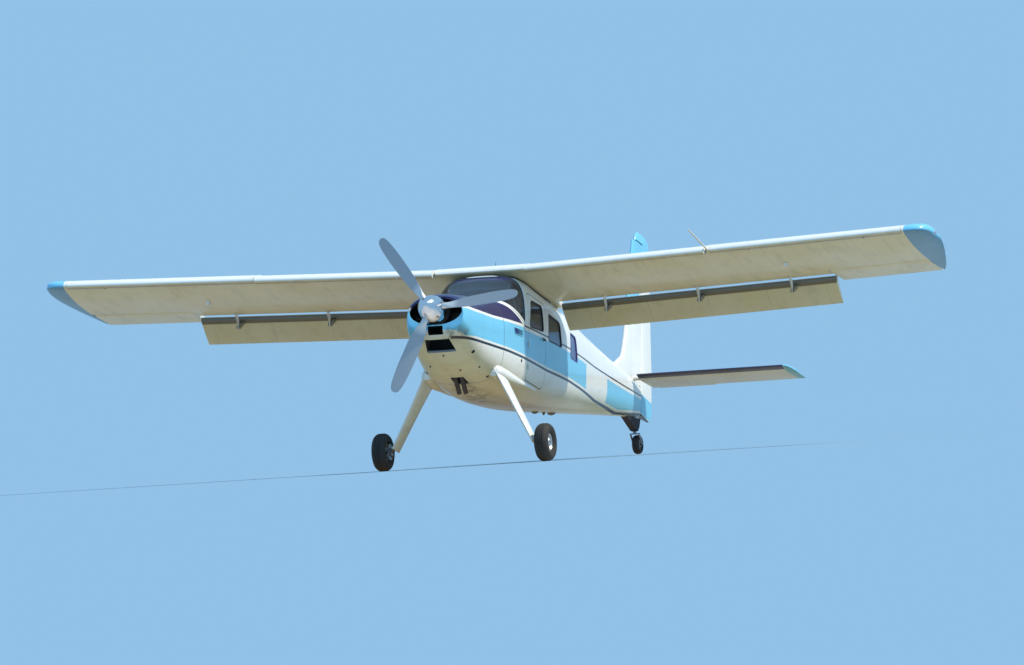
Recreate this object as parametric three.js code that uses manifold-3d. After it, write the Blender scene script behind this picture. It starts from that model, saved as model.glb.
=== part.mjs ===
// Single-engine light utility aircraft: high cantilever wing with slats and slotted flaps,
// all-moving tailplane, three-blade propeller and long-legged tailwheel landing gear.
// Datum frame in millimetres: X to port, Y aft from the station just behind the spinner's tip, Z up.
// The whole aircraft is then pitched nose-up until its three tyres stand on Z = 0.
import * as THREE from 'three';
import { mergeVertices } from 'three/addons/utils/BufferGeometryUtils.js';
import Module from 'manifold-3d';

const wasm = await Module();
wasm.setup();

const DEGREE = Math.PI / 180;
const SIDES = [['port', 1], ['starboard', -1]];

// Running and fitting gaps.
const fitGap = 0.4;
const panelGap = 8;
const fittingGap = 8;
const hingeGap = 12.5;
const slatEndGap = 6;
const aileronEndGap = 10;

// Wing.
const chord = 1830;
const wingRootY = 2140;
const wingRootZ = 978;
const incidence = 2.4 * DEGREE;
const dihedral = 2 * DEGREE;
const rootRib = 575;
const tipRib = 5660;
const flapEnds = [610, 4300];
const aileronEnds = [4312, 5648];
const flapPivot = { c: 1420, t: -210 };
const flapRest = 38 * DEGREE;
const flapCoveWall = 1385;
const flapLipEnd = 1505;
const bracketRibs = [1250, 2500, 3750];
const aileronPivot = { c: 1215, t: 15 };
const aileronNoseRadius = 72;
const slatEnds = { inboard: [620, 3025], outboard: [3075, 5620] };
const slatRest = { inboard: 110, outboard: 6 };
const slatSlope = 21 * DEGREE;

// Tail.
const stabilatorPivot = { y: 8420, z: 1060 };
const stabilatorChord = 740;
const stabilatorRoot = 150;
const stabilatorTip = 2150;
const torqueTubeRadius = 30;
const rudderHingeY = 8800;
const rudderNoseRadius = 42;
const rudderFoot = 640;
const finTop = 2940;
const finFoot = 1015;

// Landing gear.
const mainWheel = { x: 1090, y: 1600, z: -1465, radius: 243, width: 188 };
const tailWheel = { radius: 125, width: 92, trail: 95 };
const tailWheelPlace = { y: 8770, z: 254 };
const pitch = Math.atan2(
  tailWheelPlace.z - tailWheel.radius - (mainWheel.z - mainWheel.radius),
  tailWheelPlace.y - mainWheel.y,
);

// Body stations and walls.
const wall = 28;
const glassThickness = 8;
const glassInset = 10;
const noseFront = 375;
const bowlBack = 665;
const firewallY = 1490;
const cabinEnd = 4700;
const engineFoot = -320;
const floorTop = -380;
const tailPost = rudderHingeY - rudderNoseRadius - hingeGap;

// Propeller: its axis and disc, and the blades' reach.
const propellerAxisZ = 22;
const propellerY = 175;
const propellerRadius = 1170;

// Colours of the finishes, with their roughness and metalness.
const finishes = {
  white: { color: 0xf0f0ea, roughness: 0.35, metalness: 0 },
  skyBlue: { color: 0x5cb3e4, roughness: 0.3, metalness: 0 },
  polished: { color: 0xc9cbcd, roughness: 0.15, metalness: 1 },
  bare: { color: 0x9da0a2, roughness: 0.4, metalness: 0.9 },
  dark: { color: 0x2b2b2d, roughness: 0.7, metalness: 0.2 },
  rubber: { color: 0x151517, roughness: 0.85, metalness: 0 },
  glass: { color: 0x5a6a72, roughness: 0.05, metalness: 0, transparent: true, opacity: 0.4 },
  grey: { color: 0x77787a, roughness: 0.6, metalness: 0 },
  fabric: { color: 0x5c5f68, roughness: 0.9, metalness: 0 },
};

const aircraft = new THREE.Group();

function addPart(name, shape, finish, parent = aircraft) {
  const geometry = shape.isBufferGeometry ? shape : surfaceOf(shape);
  const mesh = new THREE.Mesh(geometry, new THREE.MeshStandardMaterial(finishes[finish]));
  mesh.name = name;
  parent.add(mesh);
  return mesh;
}

// Turns a closed three.js geometry into a solid that can be joined and cut.
function solidOf(geometry) {
  const bare = geometry.clone();
  for (const attribute of Object.keys(bare.attributes)) {
    if (attribute !== 'position') bare.deleteAttribute(attribute);
  }
  const merged = mergeVertices(bare, 1e-3);
  const corners = merged.index.array;
  const kept = [];
  for (let i = 0; i < corners.length; i += 3) {
    const [a, b, c] = [corners[i], corners[i + 1], corners[i + 2]];
    if (a !== b && b !== c && c !== a) kept.push(a, b, c);
  }
  return new wasm.Manifold(new wasm.Mesh({
    numProp: 3,
    vertProperties: new Float32Array(merged.attributes.position.array),
    triVerts: new Uint32Array(kept),
  }));
}

function surfaceOf(solid) {
  const mesh = solid.getMesh();
  const geometry = new THREE.BufferGeometry();
  geometry.setAttribute('position', new THREE.BufferAttribute(new Float32Array(mesh.vertProperties), 3));
  geometry.setIndex(new THREE.BufferAttribute(new Uint32Array(mesh.triVerts), 1));
  return geometry;
}

function joined(solids) {
  return solids.reduce((whole, piece) => whole.add(piece));
}

// A closed skin through like outlines. Each station has an outline of Vector2 and a place for its points.
function loft(stations) {
  const count = stations[0].outline.length;
  const positions = [];
  for (const { outline, place } of stations) {
    for (const point of outline) positions.push(...place(point).toArray());
  }
  const faces = [];
  for (let s = 0; s < stations.length - 1; s += 1) {
    for (let i = 0; i < count; i += 1) {
      const next = (i + 1) % count;
      const [a, b] = [s * count + i, s * count + next];
      faces.push(a, b, b + count, a, b + count, a + count);
    }
  }
  const last = (stations.length - 1) * count;
  for (const [a, b, c] of capFaces(stations[0].outline)) faces.push(b, a, c);
  for (const [a, b, c] of capFaces(stations.at(-1).outline)) faces.push(last + a, last + b, last + c);
  return solidOf(outwardGeometry(positions, faces));
}

// Cap triangles that run the same way round as the outline.
function capFaces(outline) {
  const turned = THREE.ShapeUtils.isClockWise(outline);
  const ordered = turned ? [...outline].reverse() : outline;
  const back = (i) => (turned ? outline.length - 1 - i : i);
  return THREE.ShapeUtils.triangulateShape(ordered, []).map(([a, b, c]) => (
    turned ? [back(c), back(b), back(a)] : [a, b, c]
  ));
}

function outwardGeometry(positions, faces) {
  let volume = 0;
  const corner = (i) => new THREE.Vector3(positions[3 * i], positions[3 * i + 1], positions[3 * i + 2]);
  for (let i = 0; i < faces.length; i += 3) {
    volume += corner(faces[i]).dot(corner(faces[i + 1]).cross(corner(faces[i + 2])));
  }
  const ordered = volume < 0 ? [...faces].reverse() : faces;
  const geometry = new THREE.BufferGeometry();
  geometry.setAttribute('position', new THREE.Float32BufferAttribute(positions, 3));
  geometry.setIndex(ordered);
  return geometry;
}

function points(...pairs) {
  return pairs.map(([u, v]) => new THREE.Vector2(u, v));
}

function box(x0, x1, y0, y1, z0, z1) {
  const geometry = new THREE.BoxGeometry(Math.abs(x1 - x0), Math.abs(y1 - y0), Math.abs(z1 - z0));
  geometry.translate((x0 + x1) / 2, (y0 + y1) / 2, (z0 + z1) / 2);
  return solidOf(geometry);
}

// A side-view outline in (Y, Z), extruded across the aircraft from x0 to x1.
function sidePrism(outline, x0, x1) {
  const geometry = new THREE.ExtrudeGeometry(new THREE.Shape(outline), {
    depth: Math.abs(x1 - x0), bevelEnabled: false,
  });
  geometry.applyMatrix4(new THREE.Matrix4().set(
    0, 0, 1, Math.min(x0, x1),
    1, 0, 0, 0,
    0, 1, 0, 0,
    0, 0, 0, 1,
  ));
  return solidOf(geometry);
}

// A front-view outline in (X, Z), extruded aft from y0 to y1.
function acrossPrism(outline, y0, y1) {
  return loft([y0, y1].map((y) => ({ outline, place: (p) => at(p.x, y, p.y) })));
}

// A four-cornered window or door outline in (Y, Z) with rounded corners.
function roundedPanel(corners, radius, inset = 0) {
  const centre = corners.reduce((sum, p) => sum.add(p), new THREE.Vector2()).divideScalar(corners.length);
  const shrunk = corners.map((p) => p.clone().sub(centre).multiplyScalar(
    1 - inset * Math.SQRT2 / p.distanceTo(centre),
  ).add(centre));
  const outline = [];
  shrunk.forEach((corner, i) => {
    const before = shrunk.at(i - 1);
    const after = shrunk[(i + 1) % shrunk.length];
    const start = corner.clone().lerp(before, radius / corner.distanceTo(before));
    const end = corner.clone().lerp(after, radius / corner.distanceTo(after));
    outline.push(...new THREE.QuadraticBezierCurve(start, corner, end).getPoints(3));
  });
  return outline;
}

// A round bar between two points, its radius running from r0 to r1.
function bar(from, to, r0, r1 = r0, sides = 12) {
  const along = new THREE.Vector3().subVectors(to, from);
  const geometry = new THREE.CylinderGeometry(r1, r0, along.length(), sides);
  geometry.translate(0, along.length() / 2, 0);
  geometry.applyQuaternion(new THREE.Quaternion().setFromUnitVectors(
    new THREE.Vector3(0, 1, 0), along.clone().normalize(),
  ));
  geometry.translate(from.x, from.y, from.z);
  return solidOf(geometry);
}

const at = (x, y, z) => new THREE.Vector3(x, y, z);

// A profile of (radius, along) turned about the X axis.
function turnedAboutX(profile, sides, startAngle = 0) {
  const geometry = new THREE.LatheGeometry(profile, sides);
  geometry.rotateY(startAngle);
  geometry.rotateZ(-Math.PI / 2);
  return solidOf(geometry);
}

// Body sections, from the nose bowl to the tail post. Columns: station, half width, height of the
// widest line, top, bottom, and how square the upper and lower halves are (2 is an ellipse).
const bodyColumns = ['y', 'half', 'mid', 'top', 'bottom', 'squareTop', 'squareBottom'];
const bodySections = [
  [375, 372, -40, 222, -230, 2.6, 3.0],
  [425, 399, -45, 256, -300, 2.6, 3.1],
  [665, 438, -55, 310, -442, 2.6, 3.5],
  [900, 470, -60, 365, -550, 2.6, 3.1],
  [1200, 512, -60, 415, -618, 2.7, 3.3],
  [1490, 554, -60, 471, -656, 2.8, 3.3],
  [1550, 562, -60, 484, -662, 2.9, 3.3],
  [1840, 580, -50, 690, -670, 3.2, 3.4],
  [2160, 590, -40, 912, -668, 4.4, 3.4],
  [2600, 594, 0, 965, -636, 5.0, 3.4],
  [3300, 588, 60, 965, -540, 5.0, 3.4],
  [3980, 568, 120, 965, -420, 4.6, 3.2],
  [4700, 505, 200, 1010, -270, 3.6, 3.0],
  [6000, 350, 400, 1050, 15, 2.8, 2.6],
  [7400, 190, 640, 1062, 325, 2.5, 2.4],
  [tailPost, 52, 850, 1062, 612, 2.3, 2.2],
].map((row) => Object.fromEntries(bodyColumns.map((name, i) => [name, row[i]])));

function bodySectionAt(y) {
  const next = Math.max(1, bodySections.findIndex((section) => section.y >= y));
  const [a, b] = [bodySections[next - 1], bodySections[next]];
  const share = (y - a.y) / (b.y - a.y);
  return Object.fromEntries(bodyColumns.map((name) => [name, a[name] + (b[name] - a[name]) * share]));
}

function bodyOutline(section, inset) {
  const sides = 32;
  const outline = [];
  for (let i = 0; i < sides; i += 1) {
    const [cos, sin] = [Math.cos(i * 2 * Math.PI / sides), Math.sin(i * 2 * Math.PI / sides)];
    const square = sin >= 0 ? section.squareTop : section.squareBottom;
    const rise = sin >= 0 ? section.top - section.mid : section.mid - section.bottom;
    outline.push(new THREE.Vector2(
      (section.half - inset) * Math.sign(cos) * Math.abs(cos) ** (2 / square),
      section.mid + (rise - inset) * Math.sign(sin) * Math.abs(sin) ** (2 / square),
    ));
  }
  return outline;
}

// The body's outer form between two stations, drawn in by an inset.
function body(from, to, inset = 0) {
  const inner = bodySections.map((section) => section.y).filter((y) => y > from + 1 && y < to - 1);
  return loft([from, ...inner, to].map((y) => ({
    outline: bodyOutline(bodySectionAt(Math.min(Math.max(y, noseFront), tailPost)), inset),
    place: (p) => at(p.x, y, p.y),
  })));
}

function bodyShell(from, to, outer, inner) {
  return body(from, to, outer).subtract(body(from - 5, to + 5, inner));
}

// Wing section in fractions of the chord. Columns: along, upper, lower.
const wingSection = [
  [0, 0, 0],
  [0.0125, 0.0267, -0.0123],
  [0.05, 0.0491, -0.0226],
  [0.10, 0.0643, -0.0292],
  [0.20, 0.0750, -0.0397],
  [0.30, 0.0755, -0.0446],
  [0.45, 0.0680, -0.0435],
  [0.60, 0.0547, -0.0367],
  [0.75, 0.0375, -0.0260],
  [0.90, 0.0168, -0.0123],
  [1, 0.0013, -0.0013],
];

function wingHeight(c, column) {
  const along = c / chord;
  const next = Math.max(1, wingSection.findIndex((row) => row[0] >= along));
  const [a, b] = [wingSection[next - 1], wingSection[next]];
  return chord * (a[column] + (b[column] - a[column]) * (along - a[0]) / (b[0] - a[0]));
}

const airfoil = [
  ...wingSection.map(([along, upper]) => new THREE.Vector2(along * chord, upper * chord)),
  ...wingSection.slice(1).reverse().map(([along, , lower]) => new THREE.Vector2(along * chord, lower * chord)),
];

// A point of the wing: x across, c back from the leading edge, t above the chord line.
function wingPoint(x, c, t) {
  const rise = Math.max(Math.abs(x) - rootRib, 0) * Math.tan(dihedral);
  return at(
    x,
    wingRootY + c * Math.cos(incidence) + t * Math.sin(incidence),
    wingRootZ - c * Math.sin(incidence) + t * Math.cos(incidence) + rise,
  );
}

function wingPrism(outline, x0, x1, side) {
  return loft([x0, x1].map((x) => ({ outline, place: (p) => wingPoint(side * x, p.x, p.y) })));
}

// Turns outline points about a pivot, trailing edge down for a positive angle.
function turned(outline, pivot, angle) {
  const [cos, sin] = [Math.cos(angle), Math.sin(angle)];
  return outline.map((p) => {
    const [c, t] = [p.x - pivot.c, p.y - pivot.t];
    return new THREE.Vector2(pivot.c + c * cos + t * sin, pivot.t - c * sin + t * cos);
  });
}

// The nose bowl has one wide mouth around the spinner, crossed by the ring behind it, a small square
// intake under the spinner, and a chin recess that leads to the wide intake in the lower cowl.
function addCowling() {
  const mouth = { half: 350, up: 170, down: 172 };
  const ring = 178;
  const lipDepth = 60;
  const plateY = noseFront + lipDepth;
  const bowl = bodyShell(noseFront, bowlBack, 0, wall);
  const far = 2000;
  const oval = Array.from({ length: 28 }, (_, i) => {
    const angle = i * Math.PI / 14;
    const rise = Math.sin(angle) > 0 ? mouth.up : mouth.down;
    return new THREE.Vector2(mouth.half * Math.cos(angle), propellerAxisZ + rise * Math.sin(angle));
  });
  const opening = acrossPrism(oval, noseFront - 20, plateY + 80)
    .subtract(bar(at(0, noseFront - 30, propellerAxisZ), at(0, plateY + 90, propellerAxisZ), ring, ring, 28));
  const plate = body(plateY, plateY + 20, wall / 2).subtract(opening);
  const lip = body(noseFront, plateY + 5).subtract(acrossPrism(oval, noseFront - 20, plateY + 80));
  const shaftHole = bar(at(0, 300, propellerAxisZ), at(0, plateY + 60, propellerAxisZ), 75, 75, 20);
  const intake = box(-100, 100, 300, plateY + 60, -275, -165);

  const recess = { top: -277, halfTop: 148, halfFoot: 205, foot: -470 };
  const recessOutline = (grow) => points(
    [-recess.halfTop - grow, recess.top + grow],
    [recess.halfTop + grow, recess.top + grow],
    [recess.halfFoot + grow, recess.foot],
    [-recess.halfFoot - grow, recess.foot],
  );
  const duct = acrossPrism(recessOutline(15), plateY, bowlBack).intersect(body(noseFront, bowlBack));
  const hollow = acrossPrism(recessOutline(0), plateY + 20, bowlBack + 5);
  const front = joined([bowl, plate, lip, duct]).subtract(hollow).subtract(shaftHole).subtract(intake);
  addPart('nose_bowl', front, 'skyBlue');

  const cowl = bodyShell(bowlBack + fitGap, firewallY - fitGap, 0, wall);
  const splitZ = -60;
  addPart('upper_cowl', cowl.intersect(box(-far, far, 0, far, splitZ + fitGap, far)), 'skyBlue');
  const exhaustHole = box(-90, 90, 1262, 1500, -1000, -500);
  addPart('lower_cowl', cowl.intersect(box(-far, far, 0, far, -far, splitZ)).subtract(exhaustHole), 'white');

  const engineFront = 740;
  const crankcase = box(-310, 310, engineFront, 1400, engineFoot, 150);
  const nose = bar(
    at(0, propellerY + 225, propellerAxisZ),
    at(0, engineFront + 10, propellerAxisZ),
    55, 55, 16,
  );
  addPart('engine', crankcase.add(nose), 'dark');
  addPart('firewall', body(firewallY, firewallY + 8, fitGap), 'bare');
}

function addExhaust() {
  const lanes = [-44, 44];
  const bend = { y: 1312, z: -590 };
  const exit = { y: 1512, z: -775 };
  const along = (share) => [bend.y + share * (exit.y - bend.y), bend.z + share * (exit.z - bend.z)];
  const risers = lanes.map((x) => bar(at(x, bend.y - 20, engineFoot - 8), at(x, bend.y, bend.z), 30, 30, 14));
  const stacks = lanes.map((x) => bar(at(x, ...along(-0.08)), at(x, ...along(1)), 30, 30, 14));
  const bores = lanes.map((x) => bar(at(x, ...along(0.6)), at(x, ...along(1.1)), 25, 25, 14));
  const collector = box(-66, 66, bend.y - 25, bend.y + 25, bend.z - 12, bend.z + 34);
  addPart('exhaust_stacks', joined([...risers, ...stacks, collector]).subtract(joined(bores)), 'dark');
}

// Window and door outlines in side view, in (Y, Z).
const panels = {
  frontWindow: points([2410, 275], [2985, 345], [2930, 672], [2470, 640]),
  middleWindow: points([3190, 280], [3790, 330], [3700, 640], [3200, 640]),
  rearWindow: points([4215, 300], [4640, 335], [4570, 660], [4225, 640]),
  portDoor: points([2345, -440], [3075, -400], [3075, 730], [2345, 720]),
  starboardDoor: points([3110, -395], [3870, -310], [3850, 640], [3700, 715], [3110, 730]),
};
const windowRadius = 55;
const doorRadius = 70;

function sideCut(outline, side) {
  return sidePrism(outline, side * 200, side * 800);
}

// The windscreen's lower edge climbs from the side posts to the middle of the cowl top.
function screenZone(inset) {
  const far = 2000;
  const edge = points(
    [1400, 520 + inset], [1535, 474 + inset], [2240 - inset, 262 + inset], [2240 - inset, far], [1400, far],
  );
  return sidePrism(edge, -far, far);
}

function addCabin() {
  const start = firewallY + 8 + fitGap;
  const far = 2000;
  const shell = bodyShell(start, cabinEnd, 0, wall);
  const glassShell = bodyShell(start, cabinEnd, glassInset, glassInset + glassThickness);
  const centre = wingCentreSolid(0);
  const centreRoom = wingCentreSolid(fitGap);
  const splitZ = -300;

  const fixedWindows = { port: ['middleWindow', 'rearWindow'], starboard: ['frontWindow', 'rearWindow'] };
  for (const [name, side] of SIDES) {
    let skin = shell.subtract(screenZone(0)).subtract(centreRoom);
    skin = skin.intersect(box(side * fitGap / 2, side * far, 0, far * 3, splitZ + fitGap, far));
    skin = skin.subtract(sideCut(roundedPanel(panels[`${name}Door`], doorRadius), side));
    for (const window of fixedWindows[name]) {
      skin = skin.subtract(sideCut(roundedPanel(panels[window], windowRadius), side));
      const pane = glassShell.intersect(sideCut(roundedPanel(panels[window], windowRadius, fitGap), side));
      const place = window.replace('Window', '');
      addPart(`${place}_window_${name}`, pane, 'glass');
    }
    addPart(`cabin_side_${name}`, skin, 'white');
    addDoor(name, side, shell, glassShell);
  }
  const doorways = SIDES.map(([name, side]) => sideCut(roundedPanel(panels[`${name}Door`], doorRadius), side));
  const belly = shell.intersect(box(-far, far, 0, far * 3, -far, splitZ)).subtract(joined(doorways));
  addPart('cabin_belly', belly, 'white');
  addPart('windscreen', glassShell.intersect(screenZone(fitGap)).subtract(centreRoom), 'glass');
  addPart('wing_centre', centre, 'white');
  addPart('rear_bulkhead', body(cabinEnd - 45, cabinEnd - 25, wall + 2), 'grey');
}

function addDoor(name, side, shell, glassShell) {
  const door = panels[`${name}Door`];
  const window = panels[name === 'port' ? 'frontWindow' : 'middleWindow'];
  const leaf = shell.intersect(sideCut(roundedPanel(door, doorRadius, panelGap), side));
  addPart(`door_${name}`, leaf.subtract(sideCut(roundedPanel(window, windowRadius), side)), 'white');
  const pane = glassShell.intersect(sideCut(roundedPanel(window, windowRadius, fitGap), side));
  addPart(`door_window_${name}`, pane, 'glass');
}

function wingCentreSolid(grow) {
  const ends = rootRib - fitGap + grow;
  const outline = airfoil.map((p) => new THREE.Vector2(
    p.x + (p.x < 1 ? -grow : 0),
    p.y + Math.sign(p.y) * grow,
  ));
  return loft([-ends, ends].map((x) => ({ outline, place: (p) => wingPoint(x, p.x, p.y) })));
}

function addCabinFittings() {
  const inner = body(firewallY + 20, cabinEnd - 60, wall + fittingGap);
  addPart('cabin_floor', inner.intersect(box(-900, 900, 1450, cabinEnd - 80, floorTop - 20, floorTop)), 'grey');
  // Seats. Columns: name, middle x, y, width, height of the foot.
  const seats = [
    ['front_seat_port', 270, 2620, 430, floorTop],
    ['front_seat_starboard', -270, 2620, 430, floorTop],
    ['middle_bench', 0, 3380, 900, floorTop],
    ['rear_bench', 0, 4080, 620, -280],
  ];
  for (const [name, x, y, width, foot] of seats) addPart(name, seatSolid(x, y, width, foot), 'fabric');
  const yokes = SIDES.flatMap(([, side]) => {
    const middle = side * 270;
    return [
      bar(at(middle, 1735, 130), at(middle, 1970, 152), 14),
      bar(at(middle - 150, 1965, 155), at(middle + 150, 1965, 155), 15),
      ...[-150, 150].map((x) => bar(at(middle + x, 1965, 145), at(middle + x, 1965, 270), 15)),
    ];
  });
  const panel = inner.intersect(box(-520, 520, 1700, 1740, -60, 400));
  addPart('instrument_panel', joined([panel, ...yokes]), 'dark');
}

function seatSolid(x, y, width, foot) {
  const half = width / 2;
  const base = box(x - half + 40, x + half - 40, y - 210, y + 190, foot + fitGap, -190);
  const pan = box(x - half, x + half, y - 240, y + 230, -200, -80);
  const backLine = points([y + 150, -90], [y + 250, -90], [y + 330, 470], [y + 240, 470]);
  const back = sidePrism(backLine, x - half, x + half);
  return joined([base, pan, back]);
}

function addScreenTubes() {
  // On each side one tube comes up from the board's middle and one from the door post's foot. They
  // meet at a joint, where a short tube goes on up to the roof and a crossing over to its twin.
  const joint = { x: 343, y: 2300, z: 790 };
  const ends = [
    [48, 1762, 336],
    [540, 2216, 262],
    [343, 2321, 862],
  ];
  const tubes = SIDES.flatMap(([, side]) => ends.map(([x, y, z]) => (
    bar(at(side * x, y, z), at(side * joint.x, joint.y, joint.z), 13, 13, 10)
  )));
  const crossing = bar(at(-joint.x, joint.y, joint.z), at(joint.x, joint.y, joint.z), 13, 13, 10);
  addPart('windscreen_tubes', joined([...tubes, crossing]), 'grey');
}

function addRearBody() {
  const tube = bar(
    at(-400, stabilatorPivot.y, stabilatorPivot.z),
    at(400, stabilatorPivot.y, stabilatorPivot.z),
    torqueTubeRadius + 9,
  );
  const lug = levelBlock(at(0, tieDowns.tail.y, tieDowns.tail.z), 30, 60, 80);
  const cone = body(cabinEnd + fitGap, tailPost).add(lug).subtract(tube);
  addPart('rear_body', cone.subtract(finSolid(1)), 'white');
  addPart('fin', finSolid(0).subtract(tube), 'white');
}

// Side view of the fin with its dorsal fillet, in (Y, Z).
function finSolid(grow) {
  const rows = [
    { z: finFoot - grow, front: 7560 - grow * 80 / 55, half: 52 },
    { z: 1070, front: 7640, half: 52 },
    { z: 1270, front: 8010, half: 50 },
    { z: 1560, front: 8112, half: 47 },
    { z: finTop, front: 8408, half: 30 },
  ];
  const back = tailPost;
  return loft(rows.map(({ z, front, half }) => ({
    outline: points(
      [front - grow, 0],
      [front + 60, -half * 0.75 - grow],
      [back - 240, -half - grow],
      [back + grow, -half * 0.85 - grow],
      [back + grow, half * 0.85 + grow],
      [back - 240, half + grow],
      [front + 60, half * 0.75 + grow],
    ),
    place: (p) => at(p.y, p.x, z),
  })));
}

function addRudder() {
  const back = { foot: 9290, low: 9335, middle: 9305, high: 9115 };
  const noseHalf = (z) => (z > finTop ? 26 : rudderNoseRadius - 12 * (z - rudderFoot) / (finTop - rudderFoot));
  const row = (z, trail, half = noseHalf(z)) => ({
    outline: [
      ...[90, 126, 162, 198, 234, 270].map((angle) => new THREE.Vector2(
        rudderHingeY + half * Math.cos(angle * DEGREE),
        half * Math.sin(angle * DEGREE),
      )),
      new THREE.Vector2(trail, -3),
      new THREE.Vector2(trail, 3),
    ],
    place: (p) => at(p.y, p.x, z),
  });
  const blade = loft([
    row(rudderFoot, back.foot - 150),
    row(rudderFoot + 45, back.foot),
    row(rudderFoot + 160, back.low),
    row(1370, back.middle),
    row(2960, back.high),
    row(3040, back.high - 30, 20),
    row(3085, back.high - 180, 8),
  ]);
  // The horn balance reaches forward over the fin's tip.
  const hornRows = [
    { z: finTop + 22, front: 8500, half: 27 },
    { z: 3040, front: 8535, half: 22 },
    { z: 3088, front: 8610, half: 8 },
  ];
  const horn = loft(hornRows.map(({ z, front, half }) => ({
    outline: points([front, 0], [front + 60, -half], [8860, -half], [8860, half], [front + 60, half]),
    place: (p) => at(p.y, p.x, z),
  })));
  addPart('rudder', blade.add(horn), 'white');
}

function addStabilator() {
  const front = stabilatorPivot.y - 0.26 * stabilatorChord;
  const section = (x, lead, trail, thick) => ({
    outline: points(
      [lead, 0],
      [lead + 0.04 * (trail - lead), 0.45 * thick],
      [lead + 0.25 * (trail - lead), thick],
      [lead + 0.65 * (trail - lead), 0.62 * thick],
      [trail, 3],
      [trail, -3],
      [lead + 0.65 * (trail - lead), -0.62 * thick],
      [lead + 0.25 * (trail - lead), -thick],
      [lead + 0.04 * (trail - lead), -0.45 * thick],
    ),
    place: (p) => at(x, p.x, stabilatorPivot.z + p.y),
  });
  const trail = front + stabilatorChord;
  const halves = SIDES.map(([, side]) => loft([
    section(side * stabilatorRoot, front, trail, 38),
    section(side * stabilatorTip, front, trail, 36),
    section(side * (stabilatorTip + 45), front + 50, trail, 30),
    section(side * (stabilatorTip + 75), front + 170, trail, 20),
    section(side * (stabilatorTip + 92), front + 400, trail, 8),
  ]));
  const tabs = SIDES.map(([, side]) => box(
    side * (stabilatorRoot + 90), side * 1010,
    trail - 20, trail + 28,
    stabilatorPivot.z - 4, stabilatorPivot.z + 4,
  ));
  const spar = bar(
    at(-stabilatorRoot - 40, stabilatorPivot.y, stabilatorPivot.z),
    at(stabilatorRoot + 40, stabilatorPivot.y, stabilatorPivot.z),
    torqueTubeRadius,
  );
  addPart('stabilator', joined([...halves, ...tabs, spar]), 'white');
}

// The slat's inner face, which the wing's fixed nose follows, in (c, t).
const slatBack = 250;
const slatInner = points([52, -90], [56, -30], [72, 8], [108, 46], [170, 88],
  [slatBack, 125.5], [slatBack, 170]);

function addWing(name, side) {
  const reach = 400;
  let panel = wingPrism(airfoil, rootRib, tipRib, side);
  const flapCut = points(
    [flapCoveWall, -reach], [flapCoveWall, 55], [flapLipEnd, 42],
    [flapLipEnd, reach], [2300, reach], [2300, -reach],
  );
  panel = panel.subtract(wingPrism(flapCut, rootRib - 5, flapEnds[1] + 6, side));
  const aileronWall = aileronPivot.c - aileronNoseRadius - hingeGap;
  const aileronCut = points([aileronWall, -reach], [aileronWall, reach], [2300, reach], [2300, -reach]);
  panel = panel.subtract(wingPrism(aileronCut, aileronEnds[0] - aileronEndGap, tipRib + 5, side));
  const noseCut = [...slatInner.slice(0, -1), ...points([slatBack, reach], [-200, reach], [-200, -90])];
  for (const place of Object.keys(slatEnds)) {
    const [from, to] = slatEnds[place];
    panel = panel.subtract(wingPrism(noseCut, from - slatEndGap, to + slatEndGap, side));
    for (const x of slatRails(place)) {
      const slot = railOutline(0, 368, railSlot.half);
      panel = panel.subtract(wingPrism(slot, x - railSlot.side, x + railSlot.side, side));
    }
  }
  for (const rib of bracketRibs) panel = panel.add(wingPrism(bracketOutline, rib - 6, rib + 6, side));
  const { x, c, t } = tieDowns.wing;
  panel = panel.add(levelBlock(wingPoint(side * x, c, t), 36, 60, 70));
  addPart(`wing_${name}`, panel, 'white');
  addTip(name, side);
  addFlap(name, side);
  addAileron(name, side);
  for (const place of Object.keys(slatEnds)) addSlat(name, side, place);
}

const bracketOutline = points(
  [1260, -60], [1380, -40], [1440, -190], [1436, -226], [1404, -226], [1398, -195],
);

const rail = { half: 11, side: 7 };
const railSlot = { half: 20, side: 15 };

function slatRails(place) {
  const [from, to] = slatEnds[place];
  return [0.2, 0.8].map((share) => from + share * (to - from));
}

// A straight rail that rises aft along the slat's path, in (c, t).
function railOutline(from, to, half) {
  const rise = Math.tan(slatSlope);
  const middle = (c) => -15 + (c - 60) * rise;
  return points(
    [from, middle(from) - half], [to, middle(to) - half],
    [to, middle(to) + half], [from, middle(from) + half],
  );
}

function addSlat(name, side, place) {
  const [from, to] = slatEnds[place];
  const skin = wingPrism(airfoil, from, to, side);
  const inner = slatInner.map((p) => new THREE.Vector2(p.x - 6, p.y + 5));
  const zone = [...inner.slice(0, -1), ...points([slatBack - 8, 400], [-200, 400], [-200, -90])];
  let slat = skin.intersect(wingPrism(zone, from - 5, to + 5, side));
  for (const x of slatRails(place)) {
    slat = slat.add(wingPrism(railOutline(40, 350, rail.half), x - rail.side, x + rail.side, side));
  }
  const travel = slatRest[place];
  const mesh = addPart(`slat_${place}_${name}`, slat, 'white');
  const slide = slatSlope - incidence;
  mesh.position.set(0, -travel * Math.cos(slide), -travel * Math.sin(slide));
}

function addFlap(name, side) {
  const section = points(
    [1394, -8], [1404, 18], [1430, 32], [1480, 36], [1520, 36], [1620, 29], [1720, 16], [1828, 2],
    [1828, -2], [1720, -18], [1620, -30], [1520, -37], [1440, -42], [1404, -32],
  );
  const arm = points([1436, -40], [1500, -38], [1442, -196], [1436, -224], [1404, -224], [1398, -196]);
  const [from, to] = flapEnds;
  let flap = wingPrism(turned(section, flapPivot, flapRest), from, to, side);
  for (const rib of bracketRibs) {
    for (const [near, far] of [[12, 22], [-22, -12]]) {
      flap = flap.add(wingPrism(turned(arm, flapPivot, flapRest), rib + near, rib + far, side));
    }
  }
  addPart(`flap_${name}`, flap, 'white');
}

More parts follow.
